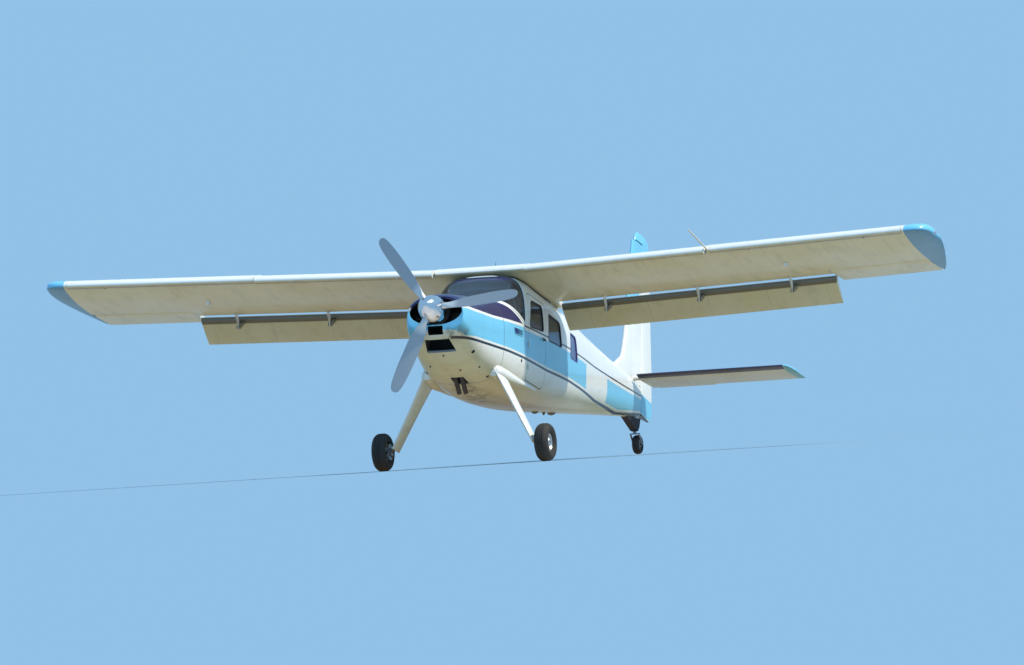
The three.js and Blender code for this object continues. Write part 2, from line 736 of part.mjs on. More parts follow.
function addAileron(name, side) {
  const { c, t } = aileronPivot;
  const nose = [110, 145, 180, 215, 250].map((angle) => new THREE.Vector2(
    c + aileronNoseRadius * Math.cos(angle * DEGREE),
    t + aileronNoseRadius * Math.sin(angle * DEGREE),
  ));
  const along = [1260, 1400, 1600, 1828];
  const section = [
    ...nose.reverse(),
    ...along.map((place) => new THREE.Vector2(place, wingHeight(place, 1))),
    ...along.reverse().map((place) => new THREE.Vector2(place, wingHeight(place, 2))),
  ];
  addPart(`aileron_${name}`, wingPrism(section, aileronEnds[0], aileronEnds[1], side), 'white');
}

// The tip is blunt ahead and swept in behind, and its underside curves up to the top skin.
function addTip(name, side) {
  // Columns: reach past the last rib, front and back edges, thickness share, rise.
  const stations = [
    [0, 0, chord, 1, 0],
    [110, 10, 1530, 0.95, 4],
    [205, 45, 1170, 0.82, 10],
    [268, 120, 900, 0.62, 20],
    [302, 240, 700, 0.38, 32],
    [315, 400, 580, 0.12, 44],
  ].map(([reach, front, back, share, rise]) => ({
    outline: airfoil.map((p) => new THREE.Vector2(
      front + p.x * (back - front) / chord,
      rise + p.y * share,
    )),
    place: (p) => wingPoint(side * (tipRib + fitGap + reach), p.x, p.y),
  }));
  addPart(`wing_tip_${name}`, loft(stations), 'skyBlue');
}

function addPropeller() {
  const place = new THREE.Group();
  place.position.set(0, propellerY, propellerAxisZ);
  aircraft.add(place);
  const angles = [126, 6, 246].map((angle) => angle * DEGREE);
  // Blade sections. Columns: radius, chord, thickness, blade angle.
  const bladeSections = [
    [95, 84, 84, 45],
    [190, 84, 80, 45],
    [300, 150, 44, 42],
    [510, 186, 28, 33],
    [780, 184, 19, 25],
    [1020, 158, 13, 20],
    [1142, 104, 9, 18],
    [propellerRadius, 40, 5, 17],
  ];
  const blades = angles.map((angle) => loft(bladeSections.map(([radius, width, thick, twist]) => ({
    outline: Array.from({ length: 12 }, (_, i) => new THREE.Vector2(
      width / 2 * Math.cos(i * Math.PI / 6),
      thick / 2 * Math.sin(i * Math.PI / 6),
    )),
    place: (p) => {
      const lean = twist * DEGREE;
      const across = p.x * Math.cos(lean) - p.y * Math.sin(lean);
      const aft = p.x * Math.sin(lean) + p.y * Math.cos(lean);
      return at(
        radius * Math.cos(angle) - across * Math.sin(angle),
        aft,
        radius * Math.sin(angle) + across * Math.cos(angle),
      );
    },
  }))));
  const hub = bar(at(0, -75, 0), at(0, 75, 0), 112, 112, 18);
  const shaft = bar(at(0, 60, 0), at(0, 224, 0), 60, 60, 16);
  addPart('propeller', joined([...blades, hub, shaft]), 'bare', place);

  const tipY = -235;
  const profile = [[0, 0], [48, 22], [92, 62], [130, 122], [157, 196], [174, 275], [180, 350], [0, 350]];
  const cone = new THREE.LatheGeometry(points(...profile), 28);
  cone.translate(0, tipY, 0);
  const room = joined([
    bar(at(0, -80, 0), at(0, 160, 0), 118, 118, 18),
    ...angles.map((angle) => bar(
      at(0, 0, 0), at(260 * Math.cos(angle), 0, 260 * Math.sin(angle)), 54, 54, 16,
    )),
  ]);
  addPart('spinner', solidOf(cone).subtract(room), 'polished', place);
}

function addMainGear(name, side) {
  const { x, y, z, radius, width } = mainWheel;
  const top = { x: 440, y: 1585, z: -470 };
  const legFoot = { x: x - 152, y: y + 48, z: z + 25 };
  const legOutline = (long, thick) => Array.from({ length: 10 }, (_, i) => new THREE.Vector2(
    long / 2 * Math.cos(i * Math.PI / 5),
    thick / 2 * Math.sin(i * Math.PI / 5),
  ));
  // Leg sections from the body to the axle. Columns: share of the way, fore-and-aft length, thickness.
  const legSections = [[0, 440, 86], [0.2, 390, 80], [0.5, 315, 72], [0.9, 272, 60], [1, 262, 54]];
  const legSolid = (grow) => loft(legSections.map(([share, long, thick]) => ({
    outline: legOutline(long + grow, thick + grow),
    place: (p) => at(
      side * (top.x + share * (legFoot.x - top.x) + p.y * 0.85),
      top.y + share * (legFoot.y - top.y) + p.x,
      top.z + share * (legFoot.z - top.z) + p.y * 0.5,
    ),
  })));
  const leg = legSolid(0);
  const outside = body(1000, 3200, -fitGap);
  addPart(`gear_leg_${name}`, leg.subtract(outside), 'white');
  addPart(`gear_fairing_${name}`, fairingSolid(side).subtract(outside).subtract(legSolid(8)), 'white');

  const axleFrom = at(side * (legFoot.x + 24), y, z);
  const axle = joined([
    bar(axleFrom, at(side * (x + 45), y, z), 19, 19, 16),
    bar(at(side * (legFoot.x + 30), y, z), at(side * (x - 88), y, z), 48, 48, 16),
  ]).subtract(leg);
  addPart(`axle_${name}`, axle, 'bare');

  const wheel = new THREE.Group();
  wheel.position.set(side * x, y, z);
  wheel.rotation.x = pitch;
  wheel.scale.x = side;
  aircraft.add(wheel);
  const half = width / 2;
  const tyre = points(
    [112, -58], [140, -82], [188, -half], [226, -70], [radius, -26],
    [radius, 26], [226, 70], [188, half], [140, 82], [112, 58], [112, -58],
  );
  addPart(`main_tyre_${name}`, turnedAboutX(tyre, 30, Math.PI / 30), 'rubber', wheel);
  const hub = points(
    [22, -50], [60, -50], [68, -30], [94, -30], [111.5, -56], [111.5, 56], [94, 34],
    [60, 40], [48, 62], [22, 62], [22, -50],
  );
  addPart(`main_hub_${name}`, turnedAboutX(hub, 30, Math.PI / 30), 'bare', wheel);
}

// The long blister that closes the leg's root and tapers aft along the body's lower side.
function fairingSolid(side) {
  // Columns: station, x and height of the middle, half depth, half height.
  const rows = [
    [1375, 446, -535, 20, 22],
    [1402, 450, -536, 70, 76],
    [1520, 458, -536, 92, 100],
    [1720, 468, -534, 96, 102],
    [1920, 484, -528, 88, 86],
    [2220, 512, -510, 60, 56],
    [2560, 545, -488, 28, 30],
    [2760, 560, -476, 10, 12],
  ];
  return loft(rows.map(([y, x, z, deep, high]) => ({
    outline: Array.from({ length: 14 }, (_, i) => new THREE.Vector2(
      x + deep * Math.cos(i * Math.PI / 7),
      z + high * Math.sin(i * Math.PI / 7),
    )),
    place: (p) => at(side * p.x, y, p.y),
  })));
}

// Tie-down lugs with a foot that is level when the aircraft stands on its wheels.
const tieDowns = {
  wing: { x: 3900, c: 640, t: -88 },
  tail: { y: 8020, z: 450 },
};

function levelBlock(centre, width, long, high) {
  const geometry = new THREE.BoxGeometry(width, long, high);
  geometry.rotateX(pitch);
  geometry.translate(centre.x, centre.y, centre.z);
  return solidOf(geometry);
}

function addTailGear() {
  const { radius, width, trail } = tailWheel;
  const upright = new THREE.Vector3(0, 0, 1).applyAxisAngle(new THREE.Vector3(1, 0, 0), pitch);
  const aftward = new THREE.Vector3(0, 1, 0).applyAxisAngle(new THREE.Vector3(1, 0, 0), pitch);
  const swivelFoot = at(0, tailWheelPlace.y, tailWheelPlace.z).addScaledVector(aftward, -trail);
  const above = (height) => swivelFoot.clone().addScaledVector(upright, height);
  const boot = sidePrism(points([8150, 500], [8740, 590], [8700, 470], [8650, 405], [8580, 400]), -45, 45);
  const post = bar(above(172), above(260), 30, 38, 18);
  const socket = bar(above(160), above(236), 13.5, 13.5, 16);
  const tailSkin = body(cabinEnd, tailPost, -fitGap);
  addPart('tail_gear_mount', boot.add(post).subtract(socket).subtract(tailSkin), 'dark');
  const swivel = new THREE.Group();
  swivel.position.set(0, tailWheelPlace.y, tailWheelPlace.z);
  swivel.rotation.x = pitch;
  aircraft.add(swivel);
  const inner = width / 2 + 8;
  const arms = SIDES.map(([, side]) => sidePrism(
    points([-trail - 26, 146], [-trail + 26, 146], [16, 12], [10, -18], [-12, -18], [-18, 0]),
    side * inner, side * (inner + 10),
  ));
  const crown = box(-inner - 10, inner + 10, -trail - 26, -trail + 26, 134, 150);
  const head = bar(at(0, -trail, 148), at(0, -trail, 170), 24, 24, 16);
  const stem = bar(at(0, -trail, 165), at(0, -trail, 228), 12.5, 12.5, 16);
  const pin = bar(at(-inner - 14, 0, 0), at(inner + 14, 0, 0), 10, 10, 14);
  addPart('tail_fork', joined([...arms, crown, head, stem, pin]), 'bare', swivel);
  const half = width / 2;
  const tyre = points(
    [62, -30], [84, -42], [106, -half], [120, -30], [radius, -12],
    [radius, 12], [120, 30], [106, half], [84, 42], [62, 30], [62, -30],
  );
  addPart('tail_tyre', turnedAboutX(tyre, 24, Math.PI / 24), 'rubber', swivel);
  const hub = points(
    [13, -34], [30, -34], [36, -20], [61.5, -28],
    [61.5, 28], [36, 20], [30, 34], [13, 34], [13, -34],
  );
  addPart('tail_hub', turnedAboutX(hub, 24, Math.PI / 24), 'bare', swivel);
}

function addProbe() {
  const rib = (slatEnds.inboard[1] + slatEnds.outboard[0]) / 2;
  addPart('pitot_boom', bar(wingPoint(rib, -1, 0), wingPoint(rib, -820, 35), 11, 8, 10), 'white');
}

addCowling();
addExhaust();
addCabin();
addCabinFittings();
addScreenTubes();
addRearBody();
addRudder();
addStabilator();
for (const [name, side] of SIDES) {
  addWing(name, side);
  addMainGear(name, side);
}
addPropeller();
addTailGear();
addProbe();

// Nose-up on its wheels, with the origin on the ground under the middle of the whole aircraft.
aircraft.rotation.x = -pitch;
aircraft.updateMatrixWorld(true);
const extent = new THREE.Box3().setFromObject(aircraft, true);
const middle = extent.getCenter(new THREE.Vector3());
aircraft.position.set(-middle.x, -middle.y, -extent.min.z);

export default aircraft;
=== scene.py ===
import math

import bmesh
import bpy
import numpy as np
from mathutils import Matrix, Vector


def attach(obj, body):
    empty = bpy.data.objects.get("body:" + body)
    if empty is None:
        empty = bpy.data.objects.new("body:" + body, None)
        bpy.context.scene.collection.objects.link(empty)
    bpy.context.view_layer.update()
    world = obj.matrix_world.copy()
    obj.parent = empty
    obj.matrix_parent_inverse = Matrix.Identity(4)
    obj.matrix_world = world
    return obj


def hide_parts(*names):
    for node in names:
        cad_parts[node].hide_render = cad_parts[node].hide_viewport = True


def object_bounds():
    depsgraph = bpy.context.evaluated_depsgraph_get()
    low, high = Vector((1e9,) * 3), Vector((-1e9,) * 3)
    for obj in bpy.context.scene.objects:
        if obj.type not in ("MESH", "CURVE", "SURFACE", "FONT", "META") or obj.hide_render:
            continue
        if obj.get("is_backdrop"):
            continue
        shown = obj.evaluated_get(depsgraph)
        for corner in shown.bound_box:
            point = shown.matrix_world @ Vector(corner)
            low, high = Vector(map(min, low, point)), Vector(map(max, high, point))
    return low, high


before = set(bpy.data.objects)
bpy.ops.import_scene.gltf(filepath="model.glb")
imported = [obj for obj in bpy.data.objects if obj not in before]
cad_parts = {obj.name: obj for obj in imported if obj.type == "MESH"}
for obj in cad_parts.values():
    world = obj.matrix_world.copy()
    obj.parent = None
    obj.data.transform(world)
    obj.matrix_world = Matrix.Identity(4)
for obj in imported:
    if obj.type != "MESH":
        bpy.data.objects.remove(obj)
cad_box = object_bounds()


# Rear body: a riveted aluminium monocoque that tapers from the cabin's last frame to the tail post.
# Its skins wrap formers and stringers, and it is enamelled white with a sky blue band on each side.
# Every shape is laid out in the airframe's datum, x to port, y aft, z up, and then stood on its wheels.
LEAN = math.radians(14.370435)
DATUM_BACK, DATUM_UP = -4.734601, 2.057935
TAIL_POST = 8.7455
CABIN_END = 4.700
FRAMES = (5.15, 5.60, 6.05, 6.50, 6.95, 7.40, 7.85, 8.30)
# A hair's breadth, which keeps a dressed skin clear of its neighbours.
HAIR = 0.0004
BODY = np.array([
    # station, half width, height of the widest line, top, bottom, squareness above and below
    (0.375, 0.372, -0.040, 0.222, -0.230, 2.6, 3.0),
    (0.425, 0.399, -0.045, 0.256, -0.300, 2.6, 3.1),
    (0.665, 0.438, -0.055, 0.310, -0.442, 2.6, 3.5),
    (0.900, 0.470, -0.060, 0.365, -0.550, 2.6, 3.1),
    (1.200, 0.512, -0.060, 0.415, -0.618, 2.7, 3.3),
    (1.490, 0.554, -0.060, 0.471, -0.656, 2.8, 3.3),
    (1.550, 0.562, -0.060, 0.484, -0.662, 2.9, 3.3),
    (1.840, 0.580, -0.050, 0.690, -0.670, 3.2, 3.4),
    (2.160, 0.590, -0.040, 0.912, -0.668, 4.4, 3.4),
    (2.600, 0.594, 0.000, 0.965, -0.636, 5.0, 3.4),
    (3.300, 0.588, 0.060, 0.965, -0.540, 5.0, 3.4),
    (3.980, 0.568, 0.120, 0.965, -0.420, 4.6, 3.2),
    (4.700, 0.505, 0.200, 1.010, -0.270, 3.6, 3.0),
    (6.000, 0.350, 0.400, 1.050, 0.015, 2.8, 2.6),
    (7.400, 0.190, 0.640, 1.062, 0.325, 2.5, 2.4),
    (TAIL_POST, 0.052, 0.850, 1.062, 0.612, 2.3, 2.2),
])


def stand(points):
    """Datum metres to the parked frame."""
    p = np.asarray(points, float)
    cos, sin = math.cos(LEAN), math.sin(LEAN)
    y = cos * p[..., 1] + sin * p[..., 2] + DATUM_BACK
    z = cos * p[..., 2] - sin * p[..., 1] + DATUM_UP
    return np.stack([p[..., 0], y, z], -1)


def datum_of(stood):
    """Parked metres back to the datum."""
    cos, sin = math.cos(LEAN), math.sin(LEAN)
    back, up = stood[:, 1] - DATUM_BACK, stood[:, 2] - DATUM_UP
    return np.stack([stood[:, 0], back * cos - up * sin, back * sin + up * cos], 1)


def full_turn(count):
    return np.arange(count) * 2 * math.pi / count


def smooth(xs, ys, x):
    """A curve through the points that never overshoots them."""
    gap = np.diff(xs)
    slope = np.diff(ys) / gap
    before, after = slope[:-1], slope[1:]
    wide, late = 2 * gap[1:] + gap[:-1], gap[1:] + 2 * gap[:-1]
    turns = before * after <= 0
    mean = (wide + late) / (wide / np.where(turns, 1, before) + late / np.where(turns, 1, after))
    tangent = np.concatenate([slope[:1], np.where(turns, 0, mean), slope[-1:]])
    k = np.clip(np.searchsorted(xs, x) - 1, 0, len(gap) - 1)
    t = (x - xs[k]) / gap[k]
    rise = ys[k + 1] - ys[k]
    square = (3 * rise - gap[k] * (2 * tangent[k] + tangent[k + 1])) * t ** 2
    cube = (gap[k] * (tangent[k] + tangent[k + 1]) - 2 * rise) * t ** 3
    return ys[k] + gap[k] * tangent[k] * t + square + cube


def body_at(y):
    """Half width, middle, top, bottom and the two squarenesses at a station."""
    y = np.clip(y, BODY[0, 0], BODY[-1, 0])
    return [smooth(BODY[:, 0], BODY[:, k], y) for k in range(1, 7)]


def body_ring(y, inset=0.0, count=72):
    half, middle, top, bottom, above, below = body_at(y)
    turn = full_turn(count)
    cos, sin = np.cos(turn), np.sin(turn)
    power = 2 / np.where(sin >= 0, above, below)
    rise = np.where(sin >= 0, top - middle, middle - bottom) - inset
    x = (half - inset) * np.sign(cos) * np.abs(cos) ** power
    z = middle + rise * np.sign(sin) * np.abs(sin) ** power
    return np.stack([x, np.full(count, float(y)), z], 1)


def fullness(points, inset=0.0):
    """Below 1 inside the body's outer form, drawn in by an inset, and above 1 outside."""
    p = np.asarray(points, float)
    half, middle, top, bottom, above, below = body_at(p[..., 1])
    up = p[..., 2] >= middle
    power = np.where(up, above, below)
    rise = np.where(up, top - middle, middle - bottom) - inset
    return np.abs(p[..., 0] / (half - inset)) ** power + np.abs((p[..., 2] - middle) / rise) ** power


def solid(name, points, faces):
    """A mesh object from datum points, with its faces outwards."""
    mesh = bpy.data.meshes.new(name)
    mesh.from_pydata(stand(points).tolist(), [], faces)
    obj = bpy.data.objects.new(name, mesh)
    bpy.context.scene.collection.objects.link(obj)
    bm = bmesh.new()
    bm.from_mesh(mesh)
    bmesh.ops.remove_doubles(bm, verts=bm.verts, dist=1e-6)
    bmesh.ops.dissolve_degenerate(bm, edges=bm.edges, dist=1e-6)
    bmesh.ops.recalc_face_normals(bm, faces=bm.faces)
    bm.to_mesh(mesh)
    bm.free()
    return obj


def loft(name, rings, closed=False):
    """A skin through like rings, capped at its ends or closed on itself."""
    rings = np.asarray(rings, float)
    n, m = rings.shape[:2]
    faces = []
    for i in range(n if closed else n - 1):
        a, b = i * m, (i + 1) % n * m
        faces += [(a + j, a + (j + 1) % m, b + (j + 1) % m, b + j) for j in range(m)]
    if not closed:
        faces += [tuple(range(m)), tuple(range((n - 1) * m, n * m))]
    return solid(name, rings.reshape(-1, 3), faces)


def body_form(name, y0, y1, inset=0.0, count=72, pitch=0.05):
    steps = max(2, int(round((y1 - y0) / pitch)) + 1)
    return loft(name, [body_ring(y, inset, count) for y in np.linspace(y0, y1, steps)])


def srgb(*rgb):
    return tuple(c / 12.92 if c <= 0.04045 else ((c + 0.055) / 1.055) ** 2.4 for c in rgb) + (1.0,)


class Value:
    """A socket of a material's tree, so that shader maths reads as plain expressions."""

    def __init__(self, tree, socket):
        self.tree = tree
        self.socket = socket

    def math(self, operation, *others):
        node = self.tree.nodes.new("ShaderNodeMath")
        node.operation = operation
        for slot, item in zip(node.inputs, (self, *others)):
            feed(self.tree, slot, item)
        return Value(self.tree, node.outputs[0])

    def __add__(self, other):
        return self.math("ADD", other)

    __radd__ = __add__

    def __sub__(self, other):
        return self.math("SUBTRACT", other)

    def __rsub__(self, other):
        return self * -1 + other

    def __mul__(self, other):
        return self.math("MULTIPLY", other)

    __rmul__ = __mul__

    def __truediv__(self, other):
        return self.math("DIVIDE", other)

    def __abs__(self):
        return self.math("ABSOLUTE")

    def past(self, edge, soft=0.001):
        """0 before the edge and 1 after it."""
        gap = self - edge
        return (gap / (2 * soft) + 0.5).math("MAXIMUM", 0).math("MINIMUM", 1)

    def within(self, low, high, soft=0.001):
        return self.past(low, soft) * (1 - self.past(high, soft))

    def near(self, line, width, soft=0.001):
        return 1 - abs(self - line).past(width / 2, soft)

    def near_any(self, lines, width):
        first, *others = [self.near(line, width) for line in lines]
        for other in others:
            first = first.math("MAXIMUM", other)
        return first

    def run(self, *stops):
        """A line of straight pieces through (place, height) stops."""
        stops = [(a, b) for a, b in stops]
        slopes = [(d - b) / (c - a) for (a, b), (c, d) in zip(stops, stops[1:])]
        line = (self - stops[0][0]) * slopes[0] + stops[0][1]
        for (place, _), was, now in zip(stops[1:], slopes, slopes[1:]):
            line = line + (self - place).math("MAXIMUM", 0) * (now - was)
        return line


def feed(tree, slot, item):
    if isinstance(item, Value):
        tree.links.new(item.socket, slot)
    else:
        slot.default_value = item


class Finish:
    """A finish in the making: constants go on the shader's own sockets, and the rest is joined to it."""

    def __init__(self, name, **constants):
        self.material = bpy.data.materials.new(name)
        self.material.use_nodes = True
        self.tree = self.material.node_tree
        self.shader = self.tree.nodes["Principled BSDF"]
        for socket, value in constants.items():
            self.shader.inputs[socket.replace("_", " ")].default_value = value
        where = self.tree.nodes.new("ShaderNodeTexCoord")
        self.place = Value(self.tree, where.outputs["Object"])
        split = self.node("SeparateXYZ", {}, {0: self.place})
        facing = self.node("SeparateXYZ", {}, {0: Value(self.tree, where.outputs["Normal"])})
        self.x, back, up = (Value(self.tree, split.outputs[k]) for k in range(3))
        self.up = Value(self.tree, facing.outputs[2])
        cos, sin = math.cos(LEAN), math.sin(LEAN)
        self.y = (back - DATUM_BACK) * cos - (up - DATUM_UP) * sin
        self.z = (back - DATUM_BACK) * sin + (up - DATUM_UP) * cos

    def node(self, kind, settings, inputs):
        node = self.tree.nodes.new("ShaderNode" + kind)
        for key, value in settings.items():
            setattr(node, key, value)
        for slot, item in inputs.items():
            feed(self.tree, node.inputs[slot], item)
        return node

    def noise(self, scale, detail=3.0, rough=0.5, stretch=None):
        place = self.place
        if stretch:
            turned = self.node("Mapping", {}, {"Vector": place, "Rotation": (LEAN, 0, 0), "Scale": stretch})
            place = Value(self.tree, turned.outputs[0])
        made = self.node("TexNoise", {},
                         {"Vector": place, "Scale": scale, "Detail": detail, "Roughness": rough})
        return Value(self.tree, made.outputs["Fac"])

    def mix(self, share, first, second):
        made = self.node("Mix", {"data_type": "RGBA"}, {0: share, 6: first, 7: second})
        return Value(self.tree, made.outputs[2])

    def tint(self, share, colour, second_colour):
        """The colour multiplied by a second colour, to a share; the underside's painted shade is made with
        it.
        """
        made = self.node("Mix", {"data_type": "RGBA", "blend_type": "MULTIPLY"},
                         {0: share, 6: colour, 7: second_colour})
        return Value(self.tree, made.outputs[2])

    def bump(self, height, strength=0.3, depth=0.002):
        made = self.node("Bump", {}, {"Strength": strength, "Distance": depth, "Height": height})
        feed(self.tree, self.shader.inputs["Normal"], Value(self.tree, made.outputs["Normal"]))
        return self

    def give(self, **sockets):
        for socket, value in sockets.items():
            feed(self.tree, self.shader.inputs[socket.replace("_", " ")], value)
        return self


WHITE, SKY = srgb(0.93, 0.93, 0.91), srgb(0.46, 0.78, 0.92)
NAVY, PIN = srgb(0.14, 0.14, 0.34), srgb(0.03, 0.02, 0.07)
# The underside colour is painted shade, warmed as by sunlit ground, with some road film; the grime colour is
# dirt.
SHADE_AND_STAIN, GRIME = srgb(0.79, 0.72, 0.50), srgb(0.34, 0.30, 0.23)
SEAM = 0.0035


def weathered_and_shaded(finish, colour, seams=None, shade_and_stain=SHADE_AND_STAIN):
    """Enamel with a darker, warmer underside that is painted shade, warmed as by sunlit ground, with some
    road film; faint patches between seams, streaks and a fine orange peel.
    """
    patches = finish.noise(1.6, 2.0, 0.5)
    streaks = finish.noise(3.0, 4.0, 0.6, stretch=(2.5, 0.35, 2.5))
    # Faces that look down are multiplied by the underside colour: painted shade with some road film.
    under = 1 - finish.up.past(-0.25, 0.35)
    colour = finish.tint(under * (0.80 + 0.20 * patches), colour, shade_and_stain)
    colour = finish.mix((streaks - 0.5).math("MAXIMUM", 0) * (0.25 + 0.55 * under), colour, GRIME)
    peel = finish.noise(220.0, 1.0, 0.4)
    height = peel * 0.04
    if seams is not None:
        colour = finish.mix(seams * 0.55, colour, GRIME)
        height = height - seams
    finish.give(Base_Color=colour, Roughness=0.24 + 0.14 * patches + 0.2 * under)
    return finish.bump(height, 0.35, 0.0015)


def livery():
    """The body's enamel: a sky blue band with white edges and pinstripes, a blank white panel in the
    band, blue on the fin's top, navy in front of the pilot, and soot behind the intakes and exhaust."""
    paint = Finish("body_enamel", Coat_Weight=0.35, Coat_Roughness=0.12)
    y, z = paint.y, paint.z
    nose_end, tail_start, pin_wide, pin_fine = 2.2, 8.762, 0.032, 0.022
    blank_panel, edge_lean = (5.222, 6.622), 0.066
    pin_top = y.run((2.17, 0.236), (3.13, 0.319), (4.17, 0.411), (5.76, 0.560), (8.10, 0.825), (9.4, 0.972))
    pin_foot = y.run((0.42, -0.312), (1.31, -0.250), (2.17, -0.185), (3.15, -0.125), (4.11, -0.026),
                     (5.94, 0.156), (7.50, 0.371), (8.70, 0.640))
    cowl_top = y.run((0.26, 0.047), (1.20, 0.108), (2.05, 0.200), (2.25, 0.222))
    screen_foot = y.run((1.40, 0.500), (1.535, 0.460), (2.24, 0.236))
    front = 1 - y.past(nose_end)
    blue_top = cowl_top * front + (pin_top - 0.052) * (1 - front)
    chin = y.run((0.37, 0.050), (0.43, 0.018), (0.50, -0.018), (0.70, 0.0), (9.0, 0.0))
    blue = z.past(pin_foot + 0.045 + chin) * (1 - z.past(blue_top))
    tail = y.past(tail_start)
    blue = blue * (1 - tail) + z.past(0.672) * (1 - z.past(0.935)) * tail
    blank = (y + z * edge_lean).within(*blank_panel)
    blue = blue * (1 - blank * (1 - tail))
    fin_top = y.past(7.4) * z.past(1.9)
    rudder_field = y.past(8.66) * (1 - z.past(2.80))
    blue = blue.math("MAXIMUM", fin_top * (1 - rudder_field))
    navy = z.past(cowl_top + 0.036) * (1 - z.past(screen_foot - 0.022)) * front
    pins = z.near(pin_top, pin_fine) * y.past(nose_end) * (1 - y.past(8.72))
    beside_chin = abs(paint.x).past(0.185).math("MAXIMUM", y.past(2.0))
    pins = pins.math("MAXIMUM", z.near(pin_foot, pin_wide) * beside_chin * (1 - y.past(8.755)))
    pins = pins.math("MAXIMUM", (1 - z.past(0.665)) * tail * y.past(8.77))
    pins = pins.math("MAXIMUM", z.near(2.738, 0.016) * y.past(8.74))
    pins = pins.math("MAXIMUM", y.near(8.735, 0.008) * z.within(1.9, 2.738))
    frames = y.near(2.255, 0.003).math("MAXIMUM", y.near_any((0.9, 1.2, *FRAMES), SEAM))
    colour = paint.mix(blue, WHITE, SKY)
    colour = paint.mix(navy, colour, NAVY)
    colour = paint.mix(pins, colour, PIN)
    soot = (paint.noise(9.0, 4.0, 0.65) - 0.42).math("MAXIMUM", 0) * 4
    chin_soot = z.within(-0.34, -0.20, 0.05) * (1 - y.past(0.52, 0.05)) * abs(paint.x).past(0.14, 0.04)
    vent_soot = y.within(1.50, 2.60, 0.25) * (1 - z.past(-0.60, 0.05)) * (1 - abs(paint.x).past(0.16, 0.10))
    colour = paint.mix((soot * (chin_soot + vent_soot)).math("MINIMUM", 0.75), colour, GRIME)
    return weathered_and_shaded(paint, colour, frames).material


LIVERY = livery()


def dress(obj, material, body, slot, *nodes, crease=32, lined=None, lined_from=0.0):
    """Gives a finished piece its finish, smooth faces with kept creases, its body and what it stands for."""
    mesh = obj.data
    mesh.materials.clear()
    mesh.materials.append(material)
    mesh.polygons.foreach_set("material_index", np.zeros(len(mesh.polygons), np.int32))
    if lined:
        mesh.materials.append(lined)
        centres = np.zeros(len(mesh.polygons) * 3)
        mesh.polygons.foreach_get("center", centres)
        datum = datum_of(centres.reshape(-1, 3))
        inside = ((fullness(datum, 0.006) < 1) & (datum[:, 1] > lined_from)).astype(np.int32)
        mesh.polygons.foreach_set("material_index", inside)
    mesh.shade_smooth()
    mesh.set_sharp_from_angle(angle=math.radians(crease))
    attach(obj, body)
    if nodes:
        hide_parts(*nodes)
    return obj


dress(body_form("rear_body_skin", CABIN_END + HAIR, TAIL_POST), LIVERY, "airframe", "white_paint",
      "rear_body")


# Cabin: two side skins, a belly and two doors over welded steel tubes, 28 mm deep with their lining.
# Windows are holes in the skin with clear acrylic panes set in from it. The windscreen is one bent
# sheet whose foot climbs from the side posts to the middle of the cowl's top.
WALL, WINDOW_CORNER, DOOR_CORNER, DOOR_GAP = 0.028, 0.055, 0.070, 0.008
WINDOWS = {
    "front_window": ((2.410, 0.275), (2.985, 0.345), (2.930, 0.672), (2.470, 0.640)),
    "middle_window": ((3.190, 0.280), (3.790, 0.330), (3.700, 0.640), (3.200, 0.640)),
    "rear_window": ((4.215, 0.300), (4.640, 0.335), (4.570, 0.660), (4.225, 0.640)),
}
DOORWAYS = {
    "port": ((2.345, -0.440), (3.075, -0.400), (3.075, 0.730), (2.345, 0.720)),
    "starboard": ((3.110, -0.395), (3.870, -0.310), (3.850, 0.640), (3.700, 0.715), (3.110, 0.730)),
}
DOOR_WINDOW = {"port": "front_window", "starboard": "middle_window"}
SIDES = {"port": 1, "starboard": -1}
INCIDENCE, DIHEDRAL, ROOT = math.radians(2.4), math.radians(2.0), 0.575
CHORD, WING_FRONT, WING_HEIGHT = 1.830, 2.140, 0.978
WING_SECTION = np.array([
    # along, upper, lower, in shares of the chord
    (0.0000, 0.0000, 0.0000), (0.0125, 0.0267, -0.0123), (0.0500, 0.0491, -0.0226), (0.1000, 0.0643, -0.0292),
    (0.2000, 0.0750, -0.0397), (0.3000, 0.0755, -0.0446), (0.4500, 0.0680, -0.0435),
    (0.6000, 0.0547, -0.0367), (0.7500, 0.0375, -0.0260), (0.9000, 0.0168, -0.0123),
    (1.0000, 0.0013, -0.0013),
])


def baked(obj):
    """Turns what the modifiers show into the object's plain mesh."""
    seen = bpy.context.evaluated_depsgraph_get()
    seen.update()
    mesh = bpy.data.meshes.new_from_object(obj.evaluated_get(seen))
    obj.modifiers.clear()
    obj.data = mesh
    return obj


def carve(obj, operation, *tools):
    for tool in tools:
        knife = obj.modifiers.new("carve", "BOOLEAN")
        knife.operation = operation
        knife.solver = "MANIFOLD"
        knife.object = tool
        baked(obj)
        bpy.data.objects.remove(tool)
    return obj


def plain(name, colour, rough, metal=0.0, grain=60.0, worn=0.25, depth=0.0006, **constants):
    """A finish of one colour that varies in shade and gloss with a fine grain."""
    made = Finish(name, Metallic=metal, **constants)
    cloud = made.noise(4.0, 4.0, 0.6)
    fine = made.noise(grain, 3.0, 0.6)
    dark = tuple(0.55 * c for c in colour[:3]) + (1.0,)
    made.give(Base_Color=made.mix(cloud * worn, colour, dark), Roughness=rough * 0.85 + 0.3 * rough * fine)
    return made.bump(fine, 0.4, depth).material


